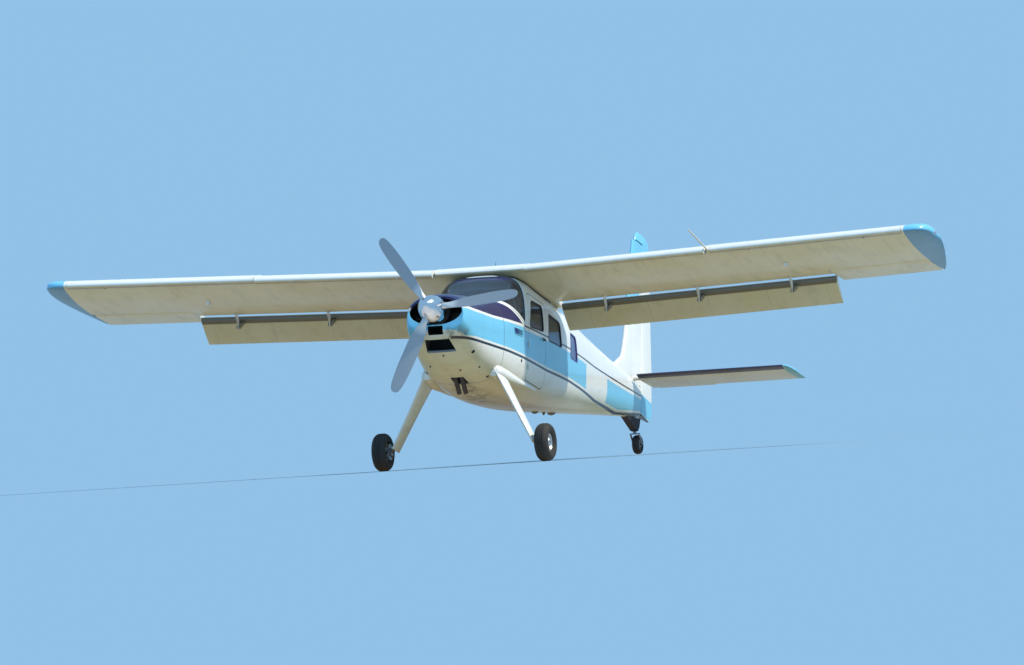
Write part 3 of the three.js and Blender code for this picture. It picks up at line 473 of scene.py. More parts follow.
def airfoil(count=36, grow=0.0):
    """The wing's section as (c, t) points, over the top from the nose and back underneath."""
    share = (1 - np.cos(np.linspace(0, math.pi, count))) / 2
    root = np.sqrt(WING_SECTION[:, 0])
    upper = smooth(root, WING_SECTION[:, 1], np.sqrt(share))
    lower = smooth(root, WING_SECTION[:, 2], np.sqrt(share))
    top = np.stack([share * CHORD, upper * CHORD + grow], 1)
    foot = np.stack([share * CHORD, lower * CHORD - grow], 1)
    top[0] = (-grow, 0)
    return np.concatenate([top, foot[:0:-1]])


def wing_point(x, c, t):
    rise = np.maximum(np.abs(x) - ROOT, 0) * math.tan(DIHEDRAL)
    cos, sin = math.cos(INCIDENCE), math.sin(INCIDENCE)
    return np.stack([x + 0 * c, WING_FRONT + c * cos + t * sin, WING_HEIGHT - c * sin + t * cos + rise], -1)


def wing_prism(name, outline, x0, x1, side=1, steps=2):
    outline = np.asarray(outline, float)
    rings = [wing_point(side * x * np.ones(len(outline)), outline[:, 0], outline[:, 1])
             for x in np.linspace(x0, x1, steps)]
    return loft(name, rings)


def side_prism(name, outline, x0, x1):
    """A side-view outline in (y, z), extruded across the aircraft."""
    return loft(name, [[(x, y, z) for y, z in outline] for x in (x0, x1)])


def eased(before, corner, after, radius, count):
    """The points of the curve that rounds a corner."""
    start = corner + (before - corner) * radius / np.linalg.norm(before - corner)
    end = corner + (after - corner) * radius / np.linalg.norm(after - corner)
    return [(1 - t) ** 2 * start + 2 * t * (1 - t) * corner + t ** 2 * end for t in np.linspace(0, 1, count)]


def rounded(corners, radius, inset=0.0, count=8):
    corners = np.asarray(corners, float)
    middle = corners.mean(0)
    arm = corners - middle
    corners = middle + arm * (1 - inset * math.sqrt(2) / np.linalg.norm(arm, axis=1))[:, None]
    line = []
    for i, corner in enumerate(corners):
        line += eased(corners[i - 1], corner, corners[(i + 1) % len(corners)], radius, count)
    return np.array(line)


def side_cut(corners, radius, side, inset=0.0):
    return side_prism("cut", rounded(corners, radius, inset), side * 0.2, side * 0.8)


def window_cut(window, side, inset=0.0):
    return side_cut(WINDOWS[window], WINDOW_CORNER, side, inset)


def door_cut(name, inset=0.0):
    return side_cut(DOORWAYS[name], DOOR_CORNER, SIDES[name], inset)


SCREEN_EDGE = ((1.400, 0.520), (1.535, 0.474), (2.240, 0.262))


def screen_zone(inset=0.0):
    front, knee, foot = SCREEN_EDGE
    edge = [(front[0], front[1] + inset), (knee[0], knee[1] + inset), (foot[0] - inset, foot[1] + inset),
            (foot[0] - inset, 2.0), (front[0], 2.0)]
    return side_prism("zone", edge, -2, 2)


def block(name, x0, x1, y0, y1, z0, z1):
    return loft(name, [[(x, y0, z0), (x, y1, z0), (x, y1, z1), (x, y0, z1)] for x in (x0, x1)])


def copy_of(obj):
    twin = obj.copy()
    twin.data = obj.data.copy()
    bpy.context.scene.collection.objects.link(twin)
    return twin


cabin_start = 1.4984
wing_room = wing_prism("wing_room", airfoil(grow=HAIR), -ROOT, ROOT)
cabin_shell = carve(body_form("cabin_shell", cabin_start, CABIN_END, count=96), "DIFFERENCE",
                    body_form("inside", cabin_start - 0.005, CABIN_END + 0.005, WALL, 96))
glass_shell = carve(body_form("glass_shell", cabin_start, CABIN_END, 0.010, 96), "DIFFERENCE",
                    body_form("inside", cabin_start - 0.005, CABIN_END + 0.005, 0.018, 96))

LINING = plain("cabin_lining", srgb(0.55, 0.56, 0.56), 0.75, grain=400)
acrylic = Finish("clear_acrylic", Roughness=0.04, Coat_Weight=0.5, Coat_Roughness=0.03, IOR=1.49)
haze = acrylic.noise(5.0, 4.0, 0.6)
sill = acrylic.y.run((2.40, 0.275), (3.80, 0.330), (4.70, 0.340))
# The glass's tone carries painted light: a navy band across the screen's top, under the wing, is painted
# shade; a blue band low in the side windows and a purple cast on the rear windows are painted reflections.
shade_band = acrylic.z.past(0.83, 0.03) * (1 - acrylic.y.past(2.30))
low_reflection = (1 - acrylic.z.past(sill + 0.10, 0.05)) * acrylic.y.past(2.30)
rear_reflection = acrylic.y.past(4.10)
tone = acrylic.mix(haze, srgb(0.17, 0.20, 0.23), srgb(0.27, 0.31, 0.36))
tone = acrylic.mix(shade_band, tone, srgb(0.20, 0.19, 0.42))
tone = acrylic.mix(low_reflection * 0.7, tone, srgb(0.22, 0.34, 0.55))
tone = acrylic.mix(rear_reflection * 0.8, tone, srgb(0.33, 0.34, 0.56))
acrylic.give(Base_Color=tone, Alpha=0.46 + 0.08 * haze + 0.34 * shade_band + 0.20 * low_reflection
             + 0.25 * rear_reflection * (1 - low_reflection))
GLAZING = acrylic.material

FIXED_WINDOWS = {"port": ("middle_window", "rear_window"), "starboard": ("front_window", "rear_window")}
for name, side in SIDES.items():
    skin = copy_of(cabin_shell)
    skin.name = "cabin_skin_" + name
    half = block("half", side * 0.0002, side * 2, 0, 9, -0.2996, 2)
    carve(skin, "DIFFERENCE", screen_zone(), copy_of(wing_room))
    carve(skin, "INTERSECT", half)
    carve(skin, "DIFFERENCE", door_cut(name))
    for window in FIXED_WINDOWS[name]:
        carve(skin, "DIFFERENCE", window_cut(window, side))
        pane = carve(copy_of(glass_shell), "INTERSECT", window_cut(window, side, HAIR))
        pane.name = f"pane_{window}_{name}"
        dress(pane, GLAZING, "airframe", "clear_glazing", f"{window}_{name}")
    dress(skin, LIVERY, "airframe", "white_paint", f"cabin_side_{name}", lined=LINING)
    leaf = carve(copy_of(cabin_shell), "INTERSECT", door_cut(name, DOOR_GAP))
    leaf.name = "door_skin_" + name
    window = DOOR_WINDOW[name]
    carve(leaf, "DIFFERENCE", window_cut(window, side))
    dress(leaf, LIVERY, f"{name}_door", "white_paint", f"door_{name}", lined=LINING)
    pane = carve(copy_of(glass_shell), "INTERSECT", window_cut(window, side, HAIR))
    pane.name = "pane_door_" + name
    dress(pane, GLAZING, f"{name}_door", "clear_glazing", f"door_window_{name}")

belly = copy_of(cabin_shell)
belly.name = "cabin_belly_skin"
carve(belly, "INTERSECT", block("low", -2, 2, 0, 9, -2, -0.300))
carve(belly, "DIFFERENCE", *(door_cut(name) for name in SIDES))
dress(belly, LIVERY, "airframe", "white_paint", "cabin_belly", lined=LINING)
screen = carve(copy_of(glass_shell), "INTERSECT", screen_zone(HAIR))
screen.name = "windscreen_sheet"
carve(screen, "DIFFERENCE", copy_of(wing_room))
dress(screen, GLAZING, "airframe", "clear_glazing", "windscreen")
for spare in (cabin_shell, glass_shell, wing_room):
    bpy.data.objects.remove(spare)


# Wing: two cantilever panels of stressed skin on a deep box over the cabin's roof.
# The skin is riveted to ribs and spars, and a fixed nose and a cove are pressed in where the slats
# and flaps lie. Enamelled white, with light blue tips of moulded glass cloth.
TIP_RIB = 5.660
WING_RIBS = (0.95, 1.35, 1.75, 2.15, 2.55, 2.95, 3.35, 3.75, 4.15, 4.55, 4.95, 5.35)
FLAP_ENDS, AILERON_ENDS = (0.610, 4.300), (4.312, 5.648)
SLAT_ENDS = {"inboard": (0.620, 3.025), "outboard": (3.075, 5.620)}
SLAT_OUT = {"inboard": 0.110, "outboard": 0.006}
SLAT_SLOPE = math.radians(21)
SLAT_BACK = 0.250
SLAT_INNER = [(0.052, -0.090), (0.056, -0.030), (0.072, 0.008), (0.108, 0.046), (0.170, 0.088),
              (SLAT_BACK, 0.1255)]
AILERON_PIVOT, AILERON_NOSE = (1.215, 0.015), 0.072
BRACKET_RIBS = (1.250, 2.500, 3.750)
SECTION_COUNT = 44
WING_LINE = airfoil(SECTION_COUNT)


def wing_level(x_side, c, t=0.0):
    return wing_point(np.array([x_side], float), np.array([c]), np.array([t]))[0]


SQUARE = [(-1, -1), (1, -1), (1, 1), (-1, 1)]
LEVELLED = np.array([[1, 0, 0], [0, math.cos(LEAN), math.sin(LEAN)], [0, -math.sin(LEAN), math.cos(LEAN)]])


def level_block(name, centre, width, length, height):
    """A block that lies level on the parked aircraft, about a datum point."""
    corners = [[(x, y, z) for y, z in SQUARE] for x in (-1, 1)]
    half = np.array([width, length, height]) / 2
    rings = np.array(corners, float) * half @ LEVELLED + np.asarray(centre, float)
    return loft(name, rings)


def wing_enamel():
    """White enamel with a seam at each rib."""
    paint = Finish("wing_enamel", Coat_Weight=0.3, Coat_Roughness=0.15)
    return weathered_and_shaded(paint, WHITE, abs(paint.x).near_any(WING_RIBS, SEAM)).material


def slat_enamel():
    """White enamel over the nose, and a lilac painted shade on the faces that look down, under the nose."""
    paint = Finish("slat_enamel", Coat_Weight=0.3, Coat_Roughness=0.15)
    # Faces that look down are painted lilac: the sky-lit shade under the slat's nose.
    foot = 1 - paint.up.past(-0.80, 0.10)
    return weathered_and_shaded(paint, paint.mix(foot, WHITE, srgb(0.62, 0.58, 0.74))).material


def flap_enamel():
    """White enamel, and a nose, which the wing's cove covers at cruise, painted dark grey as its shade in the
    slot.
    """
    paint = Finish("flap_enamel", Coat_Weight=0.3, Coat_Roughness=0.15)
    nose_back = 3.705
    # The flap's nose ahead of nose_back is painted darker as painted shade.
    shaded_nose = 1 - paint.y.past(nose_back, 0.006)
    seams = abs(paint.x).near_any(WING_RIBS[:9:2], SEAM)
    return weathered_and_shaded(paint, paint.mix(shaded_nose, WHITE, srgb(0.47, 0.46, 0.42)), seams).material


WING_WHITE = wing_enamel()
FLAP_WHITE = flap_enamel()
SLAT_WHITE = slat_enamel()
PLAIN_WHITE = weathered_and_shaded(Finish("white_enamel", Coat_Weight=0.3, Coat_Roughness=0.15), WHITE).material
# The sky blue's underside colour is its painted shade.
SKY_PAINT = weathered_and_shaded(Finish("sky_enamel", Coat_Weight=0.35, Coat_Roughness=0.12), SKY, None,
                      srgb(0.64, 0.57, 0.54)).material
BARE = plain("bare_steel", srgb(0.55, 0.56, 0.57), 0.38, 0.9, 120, 0.4)
DULL_WHITE = plain("tube_paint", srgb(0.93, 0.93, 0.90), 0.5, grain=200)

dress(wing_prism("wing_centre_skin", airfoil(), -ROOT + HAIR, ROOT - HAIR), WING_WHITE, "airframe",
      "white_paint", "wing_centre")

fixed_nose = SLAT_INNER + [(SLAT_BACK, 0.4), (-0.2, 0.4), (-0.2, -0.09)]
flap_cove = [(1.385, -0.4), (1.385, 0.020), (1.420, 0.047), (1.505, 0.042), (1.505, 0.4), (2.3, 0.4),
             (2.3, -0.4)]
aileron_bay = [(1.1305, -0.4), (1.1305, 0.4), (2.3, 0.4), (2.3, -0.4)]
bracket = [(1.260, -0.060), (1.380, -0.040), (1.440, -0.190), (1.436, -0.226), (1.404, -0.226),
           (1.398, -0.195)]


TIP_BOWS = [
    # reach past the tip's rib, front, back, share of the section's height, rise
    (0, 0, 1.830, 1, 0), (0.060, 0.003, 1.690, 0.98, 0.002), (0.110, 0.010, 1.530, 0.95, 0.004),
    (0.160, 0.024, 1.350, 0.89, 0.007), (0.205, 0.045, 1.170, 0.82, 0.010),
    (0.240, 0.078, 1.030, 0.73, 0.015), (0.268, 0.120, 0.900, 0.62, 0.020),
    (0.288, 0.170, 0.795, 0.50, 0.026), (0.302, 0.240, 0.700, 0.38, 0.032),
    (0.311, 0.320, 0.640, 0.25, 0.038), (0.315, 0.400, 0.580, 0.12, 0.044),
]


def rail_outline(start, end, half):
    rise = math.tan(SLAT_SLOPE)
    low, high = (-0.015 + (c - 0.060) * rise for c in (start, end))
    return [(start, low - half), (end, high - half), (end, high + half), (start, low + half)]


def slat_rails(place):
    start, end = SLAT_ENDS[place]
    return [start + share * (end - start) for share in (0.2, 0.8)]


for name, side in SIDES.items():
    panel = wing_prism("wing_skin_" + name, WING_LINE, ROOT, TIP_RIB, side)
    cuts = [wing_prism("cut", flap_cove, ROOT - 0.005, FLAP_ENDS[1] + 0.006, side),
            wing_prism("cut", aileron_bay, AILERON_ENDS[0] - 0.010, TIP_RIB + 0.005, side)]
    for place, (start, end) in SLAT_ENDS.items():
        cuts.append(wing_prism("cut", fixed_nose, start - 0.006, end + 0.006, side))
        for x in slat_rails(place):
            cuts.append(wing_prism("cut", rail_outline(0, 0.368, 0.020), x - 0.015, x + 0.015, side))
    carve(panel, "DIFFERENCE", *cuts)
    carve(panel, "UNION", *(wing_prism("bracket", bracket, x - 0.006, x + 0.006, side) for x in BRACKET_RIBS))
    carve(panel, "UNION", level_block("lug", wing_level(side * 3.9, 0.640, -0.088), 0.036, 0.060, 0.070))
    dress(panel, WING_WHITE, "airframe", "white_paint", "wing_" + name)

    rows = []
    for reach_out, front, back, share, rise in TIP_BOWS:
        outline = airfoil(40)
        x = np.full(len(outline), side * (TIP_RIB + HAIR + reach_out))
        rows.append(wing_point(x, front + outline[:, 0] * (back - front) / CHORD,
                               rise + outline[:, 1] * share))
    dress(loft("wing_tip_bow_" + name, rows), SKY_PAINT, "airframe", "sky_blue_paint", "wing_tip_" + name)


# Slats: full-span auxiliary airfoils on the leading edge, pressed skins on ribs that ride out on
# two steel rails each. The airflow pulls them out and pushes them in. The inboard pair hangs open.
def stood_way(way):
    """A way in the datum, turned to the parked frame."""
    return stand(way) - stand((0, 0, 0))


def shifted(obj, out):
    """A slat's travel along its rails, forwards and down."""
    slide = SLAT_SLOPE - INCIDENCE
    move = stood_way((0, -out * math.cos(slide), -out * math.sin(slide)))
    obj.data.transform(Matrix.Translation(Vector(move)))
    return obj


for name, side in SIDES.items():
    for place, (start, end) in SLAT_ENDS.items():
        slat = wing_prism("slat_skin_" + place + "_" + name, WING_LINE, start, end, side)
        inner = [(c - 0.006, t + 0.005) for c, t in SLAT_INNER]
        zone = inner + [(SLAT_BACK - 0.008, 0.4), (-0.2, 0.4), (-0.2, -0.09)]
        carve(slat, "INTERSECT", wing_prism("zone", zone, start - 0.005, end + 0.005, side))
        rails = [wing_prism("rail", rail_outline(0.040, 0.350, 0.011), x - 0.007, x + 0.007, side)
                 for x in slat_rails(place)]
        carve(slat, "UNION", *rails)
        shifted(slat, SLAT_OUT[place])
        dress(slat, SLAT_WHITE, f"{name}_{place}_slat", "white_paint", f"slat_{place}_{name}")


# Flaps and ailerons: slotted, on external steel brackets below the wing.
# Each flap is one long riveted skin over ribs with three pairs of arms, down at its rest.
# The ailerons have a round nose that rolls in the wing's bay.
FLAP_PIVOT, FLAP_REST = (1.420, -0.210), math.radians(38)


def turned(outline, pivot, angle):
    c, t = (np.asarray(outline, float) - pivot).T
    cos, sin = math.cos(angle), math.sin(angle)
    return np.stack([pivot[0] + c * cos + t * sin, pivot[1] - c * sin + t * cos], 1)


def lengths_along(points):
    return np.concatenate([[0], np.cumsum(np.linalg.norm(np.diff(points, axis=0), axis=1))])


def rounded_line(knots, count):
    """A smooth open curve through the knots, by chord length."""
    knots = np.asarray(knots, float)
    run = lengths_along(knots)
    at = np.linspace(0, run[-1], count)
    return np.stack([smooth(run, knots[:, 0], at), smooth(run, knots[:, 1], at)], 1)


def line_height(line, c):
    """The height of the section's upper or lower line."""
    return float(np.interp(c, line[:, 0], line[:, 1]))


flap_nose = [(1.520, -0.037), (1.440, -0.042), (1.404, -0.032), (1.394, -0.008), (1.404, 0.018),
             (1.430, 0.032), (1.480, 0.036), (1.520, 0.036)]
flap_back = [(1.520, 0.036), (1.620, 0.029), (1.720, 0.016), (1.828, 0.002), (1.828, -0.002), (1.720, -0.018),
             (1.620, -0.030), (1.520, -0.037)]
flap_section = np.concatenate([rounded_line(flap_nose, 26), flap_back[1:-1]])
flap_arm = [(1.436, -0.040), (1.500, -0.038), (1.442, -0.196), (1.436, -0.224), (1.404, -0.224),
            (1.398, -0.196)]
arc = np.radians(np.linspace(250, 110, 22))
aileron_nose = np.stack([AILERON_PIVOT[0] + AILERON_NOSE * np.cos(arc),
                         AILERON_PIVOT[1] + AILERON_NOSE * np.sin(arc)], 1)
UPPER_LINE, LOWER_LINE = WING_LINE[:SECTION_COUNT], WING_LINE[:SECTION_COUNT - 1:-1]
steps = (1.26, 1.33, 1.4, 1.5, 1.6, 1.7, 1.828)
upper_run = [(c, line_height(UPPER_LINE, c)) for c in steps]
lower_run = [(c, line_height(LOWER_LINE, c)) for c in steps[::-1]]
aileron_section = np.concatenate([aileron_nose, upper_run, lower_run])
for name, side in SIDES.items():
    flap = wing_prism("flap_skin_" + name, turned(flap_section, FLAP_PIVOT, FLAP_REST), *FLAP_ENDS, side)
    arms = [wing_prism("arm", turned(flap_arm, FLAP_PIVOT, FLAP_REST), x + near, x + far, side)
            for x in BRACKET_RIBS for near, far in ((0.012, 0.022), (-0.022, -0.012))]
    carve(flap, "UNION", *arms)
    dress(flap, FLAP_WHITE, name + "_flap", "white_paint", "flap_" + name)
    dress(wing_prism("aileron_skin_" + name, aileron_section, *AILERON_ENDS, side), WING_WHITE,
          name + "_aileron", "white_paint", "aileron_" + name)


# Tail: a fin that grows out of the rear body, a rudder with a horn that reaches over the fin's tip,
# and an all-moving tailplane in two halves on one tube, with a tab along each half's trailing edge.
FIN_TOP, FIN_NOSE = 2.940, 0.060
fin_table = np.array([
    # height, leading edge, half thickness
    (1.015, 7.560, 0.052), (1.070, 7.640, 0.052), (1.270, 8.010, 0.050), (1.560, 8.112, 0.047),
    (FIN_TOP, 8.408, 0.030),
])


def fin_ring(z, front, half):
    spar, quarter_turn = TAIL_POST - 0.240, np.linspace(0, math.pi / 2, 7)
    nose = [(front + FIN_NOSE * (1 - math.cos(a)), half * 0.75 * math.sin(a)) for a in quarter_turn]
    line = nose + [((front + FIN_NOSE + spar) / 2, half * 0.93), (spar, half), (TAIL_POST, half * 0.85)]
    mirror = [(y, -x) for y, x in line[:0:-1]]
    return [(x, y, z) for y, x in line + mirror]


levels = np.concatenate([np.linspace(1.015, 1.56, 12), np.linspace(1.7, FIN_TOP, 7)])
fin = loft("fin_skin", [fin_ring(z, *(float(np.interp(z, fin_table[:, 0], fin_table[:, k])) for k in (1, 2)))
                        for z in levels])
dress(fin, LIVERY, "airframe", "white_paint", "fin")

RUDDER_HINGE = 8.800


def rudder_ring(z, trail, half=None):
    half = half or (0.026 if z > FIN_TOP else 0.042 - 0.012 * (z - 0.640) / (FIN_TOP - 0.640))
    arc = np.radians(np.linspace(90, 270, 17))
    nose = [(half * math.sin(a), RUDDER_HINGE + half * math.cos(a), z) for a in arc]
    quarter = RUDDER_HINGE + 0.5 * (trail - RUDDER_HINGE)
    return nose + [(-half * 0.52, quarter, z), (-0.003, trail, z), (0.003, trail, z),
                   (half * 0.52, quarter, z)]


edge = [(0.640, 9.140), (0.655, 9.215), (0.685, 9.290), (0.720, 9.312), (0.800, 9.335), (1.370, 9.305),
        (2.1, 9.218), (2.960, 9.115), (3.040, 9.085)]
rudder = loft("rudder_skin", [rudder_ring(z, trail, 0.020 if z > 3 else None) for z, trail in edge]
              + [rudder_ring(3.085, 8.935, 0.008)])
horn_rows = [(FIN_TOP + 0.022, 8.500, 0.027), (3.040, 8.535, 0.022), (3.088, 8.610, 0.008)]
horn_rings = []
for z, front, half in horn_rows:
    line = [(front + FIN_NOSE * (1 - math.cos(a)), half * math.sin(a))
            for a in np.linspace(0, math.pi / 2, 7)]
    line.append((8.860, half))
    horn_rings.append([(x, y, z) for y, x in line + [(y, -x) for y, x in line[:0:-1]]])
carve(rudder, "UNION", loft("horn", horn_rings))
dress(rudder, LIVERY, "rudder_assembly", "white_paint", "rudder")

STAB_PIVOT, STAB_CHORD, STAB_ROOT, STAB_TIP = (8.420, 1.060), 0.740, 0.150, 2.150
stab_front = STAB_PIVOT[0] - 0.26 * STAB_CHORD
stab_back = stab_front + STAB_CHORD


def stab_ring(x, front, thick, back=stab_back):
    share = (1 - np.cos(np.linspace(0, math.pi, 22))) / 2
    known = np.array([(0, 0), (0.04, 0.45), (0.25, 1.0), (0.65, 0.62), (1.0, 0.08)])
    height = smooth(np.sqrt(known[:, 0]), known[:, 1], np.sqrt(share)) * thick
    top = [(x, front + s * (back - front), STAB_PIVOT[1] + h) for s, h in zip(share, height)]
    foot = [(x, y, 2 * STAB_PIVOT[1] - z) for x, y, z in top[:0:-1]]
    return top + foot


def tail_paint():
    """White with a navy leading band and light blue tips."""
    paint = Finish("tailplane_enamel", Coat_Weight=0.3, Coat_Roughness=0.15)
    along = abs(paint.x)
    colour = paint.mix(1 - paint.y.past(stab_front + 0.100), WHITE, NAVY)
    colour = paint.mix(along.past(STAB_TIP - 0.005), colour, SKY)
    seams = along.near_any((0.70, 1.25, 1.75), 0.003)
    # The tailplane's underside colour is its painted shade, set darker still.
    return weathered_and_shaded(paint, colour, seams, srgb(0.71, 0.63, 0.42)).material


tips = [(0, 0, 0.036), (0.030, 0.022, 0.033), (0.055, 0.075, 0.027), (0.075, 0.170, 0.020),
        (0.086, 0.280, 0.013), (0.092, 0.400, 0.008)]
stabilator = None
for side in (1, -1):
    rings = [stab_ring(side * x, stab_front, 0.038 - 0.002 * (x - STAB_ROOT) / 2)
             for x in np.linspace(STAB_ROOT, 2.149, 12)]
    rings += [stab_ring(side * (STAB_TIP + out), stab_front + sweep, thick) for out, sweep, thick in tips]
    half = loft("stabilator_skin", rings)
    carve(half, "UNION",
          block("tab", side * (STAB_ROOT + 0.09), side * 1.010, stab_back - 0.020, stab_back + 0.028,
                STAB_PIVOT[1] - 0.004, STAB_PIVOT[1] + 0.004))
    stabilator = half if stabilator is None else carve(stabilator, "UNION", half)


def rod(name, a, b, radius, end_radius=None, count=24):
    """A round bar between two datum points."""
    a, b = np.asarray(a, float), np.asarray(b, float)
    axis = (b - a) / np.linalg.norm(b - a)
    across = np.cross(axis, (0, 0, 1) if abs(axis[2]) < 0.9 else (1, 0, 0))
    across /= np.linalg.norm(across)
    over = np.cross(axis, across)
    turn = full_turn(count)
    ring = np.cos(turn)[:, None] * across + np.sin(turn)[:, None] * over
    return loft(name, [a + radius * ring, b + (end_radius or radius) * ring])


carve(stabilator, "UNION",
      rod("spar", (-STAB_ROOT - 0.04, *STAB_PIVOT), (STAB_ROOT + 0.04, *STAB_PIVOT), 0.030))
dress(stabilator, tail_paint(), "tailplane", "white_paint", "stabilator")


# Nose: a pressed bowl around the propeller, with one wide oval mouth crossed by a baffle ring,
# a small intake under the spinner and a chin recess for the oil cooler. The cowls behind it hinge
# on the nose mount. The upper one is painted navy in front of the pilot against glare.
PROP_HEIGHT, PROP_STATION = 0.022, 0.175
MOUTH = (0.350, 0.170, 0.172)
NOSE_FRONT, BOWL_BACK, COWL_SPLIT = 0.375, 0.665, -0.060


def mouth_ring(y, grow=0.0, count=72):
    turn = full_turn(count)
    cos, sin = np.cos(turn), np.sin(turn)
    rise = np.where(sin > 0, MOUTH[1], MOUTH[2]) + grow
    return np.stack([(MOUTH[0] + grow) * cos, np.full(count, y), PROP_HEIGHT + rise * sin], 1)


outer = [body_ring(y) for y in np.linspace(BOWL_BACK, 0.385, 9)]
front = body_ring(NOSE_FRONT)
lip = []
for turn in np.linspace(0.25, 1.0, 6):
    a = turn * math.pi / 2
    hole = mouth_ring(NOSE_FRONT, 0.004)
    lip.append(front + (hole - front) * (1 - math.cos(a)) + np.array([0, -0.004 * math.sin(2 * a), 0]))
inner = [mouth_ring(y) for y in (0.384, 0.400, 0.435, 0.455)]
inside = [body_ring(y, WALL) for y in (0.455, 0.520, 0.590, BOWL_BACK)]
bowl_rings = outer + [front] + lip + inner + inside
bowl = loft("nose_bowl_skin", bowl_rings, closed=True)
ring_plate = rod("ring", (0, 0.405, PROP_HEIGHT), (0, 0.455, PROP_HEIGHT), 0.178, count=64)
carve(bowl, "UNION", ring_plate)
carve(bowl, "DIFFERENCE", rod("shaft", (0, 0.30, PROP_HEIGHT), (0, 0.50, PROP_HEIGHT), 0.075, count=40))


def across_prism(name, outline, y0, y1):
    return loft(name, [[(x, y, z) for x, z in outline] for y in (y0, y1)])


def recess(grow):
    return [(-0.148 - grow, -0.277 + grow), (0.148 + grow, -0.277 + grow), (0.205 + grow, -0.470),
            (-0.205 - grow, -0.470)]


duct = carve(across_prism("duct", recess(0.015), 0.436, BOWL_BACK), "INTERSECT",
             body_form("form", NOSE_FRONT, BOWL_BACK))
carve(bowl, "UNION", duct)
carve(bowl, "DIFFERENCE", across_prism("recess", rounded(recess(0), 0.022), 0.455, BOWL_BACK + 0.005))
carve(bowl, "DIFFERENCE",
      across_prism("intake", rounded([(-0.1, -0.275), (0.1, -0.275), (0.1, -0.165), (-0.1, -0.165)], 0.014),
                   0.30, 0.495))
# Faces more than 6 mm inside the bowl's form and behind its lip, in the mouth, the intake and the chin
# recess, are painted near black as painted shade.
mouth_shade = plain("mouth_shade", srgb(0.085, 0.08, 0.08), 0.8, grain=180, depth=0.001)
dress(bowl, LIVERY, "airframe", "sky_blue_paint", "nose_bowl", lined=mouth_shade, lined_from=0.388)

cowl = carve(body_form("cowl", BOWL_BACK + HAIR, 1.4896, count=96), "DIFFERENCE",
             body_form("inside", BOWL_BACK - 0.005, 1.495, WALL, 96))
upper = carve(copy_of(cowl), "INTERSECT", block("half", -2, 2, 0, 2, COWL_SPLIT + HAIR, 2))
upper.name = "upper_cowl_skin"
dress(upper, LIVERY, "airframe", "sky_blue_paint", "upper_cowl", lined=LINING)
carve(cowl, "INTERSECT", block("half", -2, 2, 0, 2, -2, COWL_SPLIT))
carve(cowl, "DIFFERENCE", block("hole", -0.090, 0.090, 1.262, 1.500, -1.0, -0.5))
cowl.name = "lower_cowl_skin"
dress(cowl, LIVERY, "airframe", "white_paint", "lower_cowl", lined=LINING)


# Engine: a flat six behind the nose mount, of cast light alloy and black enamel, with finned steel
# cylinders on either side and a baffle between them. Only its front shows, through the mouth.
def repeats():
    """A node tree that sets one turned piece on every vertex, lined up with the vertex's facing."""
    tree = bpy.data.node_groups.new("turned_repeats", "GeometryNodeTree")
    sockets = {}
    for label, kind in (("Places", "Geometry"), ("Sides", "Int"), ("Foot radius", "Float"),
                        ("Top radius", "Float"), ("Height", "Float"), ("Finish", "Material")):
        made = tree.interface.new_socket(label, in_out="INPUT", socket_type="NodeSocket" + kind)
        sockets[label] = made.identifier
    tree.interface.new_socket("Pieces", in_out="OUTPUT", socket_type="NodeSocketGeometry")
    given = tree.nodes.new("NodeGroupInput")
    taken = tree.nodes.new("NodeGroupOutput")
    cone = tree.nodes.new("GeometryNodeMeshCone")
    facing = tree.nodes.new("GeometryNodeInputNamedAttribute")
    facing.data_type = "FLOAT_VECTOR"
    facing.inputs["Name"].default_value = "facing"
    align = tree.nodes.new("FunctionNodeAlignRotationToVector")
    align.axis = "Z"
    instance = tree.nodes.new("GeometryNodeInstanceOnPoints")
    real = tree.nodes.new("GeometryNodeRealizeInstances")
    finish = tree.nodes.new("GeometryNodeSetMaterial")
    for start, plug, end, socket in (
            (given, "Sides", cone, "Vertices"), (given, "Foot radius", cone, "Radius Bottom"),
            (given, "Top radius", cone, "Radius Top"), (given, "Height", cone, "Depth"),
            (facing, "Attribute", align, "Vector"), (align, "Rotation", instance, "Rotation"),
            (given, "Places", instance, "Points"), (cone, "Mesh", instance, "Instance"),
            (instance, "Instances", real, "Geometry"), (real, "Geometry", finish, "Geometry"),
            (given, "Finish", finish, "Material"), (finish, "Geometry", taken, "Pieces")):
        tree.links.new(start.outputs[plug], end.inputs[socket])
    return tree, sockets


REPEATS, REPEAT_INPUTS = repeats()


def strewn(name, places, facings, material, body, slot, sides, foot, top, height, crease=32):
    """Like turned pieces on datum points, each lined up with its facing, as one piece on a body."""
    mesh = bpy.data.meshes.new(name)
    mesh.from_pydata(stand(places).tolist(), [], [])
    made = mesh.attributes.new("facing", "FLOAT_VECTOR", "POINT")
    made.data.foreach_set("vector", stood_way(facings).ravel())
    obj = bpy.data.objects.new(name, mesh)
    bpy.context.scene.collection.objects.link(obj)
    spread = obj.modifiers.new("repeats", "NODES")
    spread.node_group = REPEATS
    for label, value in (("Sides", sides), ("Foot radius", foot), ("Top radius", top), ("Height", height),
                         ("Finish", material)):
        spread[REPEAT_INPUTS[label]] = value
    return dress(baked(obj), material, body, slot, crease=crease)


CRACKLE = plain("black_crackle", srgb(0.055, 0.055, 0.06), 0.55, 0.0, 500, 0.3, 0.0008)
CAST = plain("cast_alloy", srgb(0.42, 0.40, 0.37), 0.5, 0.7, 160, 0.5, 0.001)
scorched = Finish("scorched_steel", Metallic=0.55)
scale = scorched.noise(14, 5, 0.65)
rust = scorched.noise(55, 4, 0.7)
scorched.give(Base_Color=scorched.mix(scale, srgb(0.25, 0.21, 0.19), srgb(0.39, 0.32, 0.27)),
              Roughness=0.55 + 0.35 * rust)
SCORCHED = scorched.bump(rust, 0.5, 0.001).material

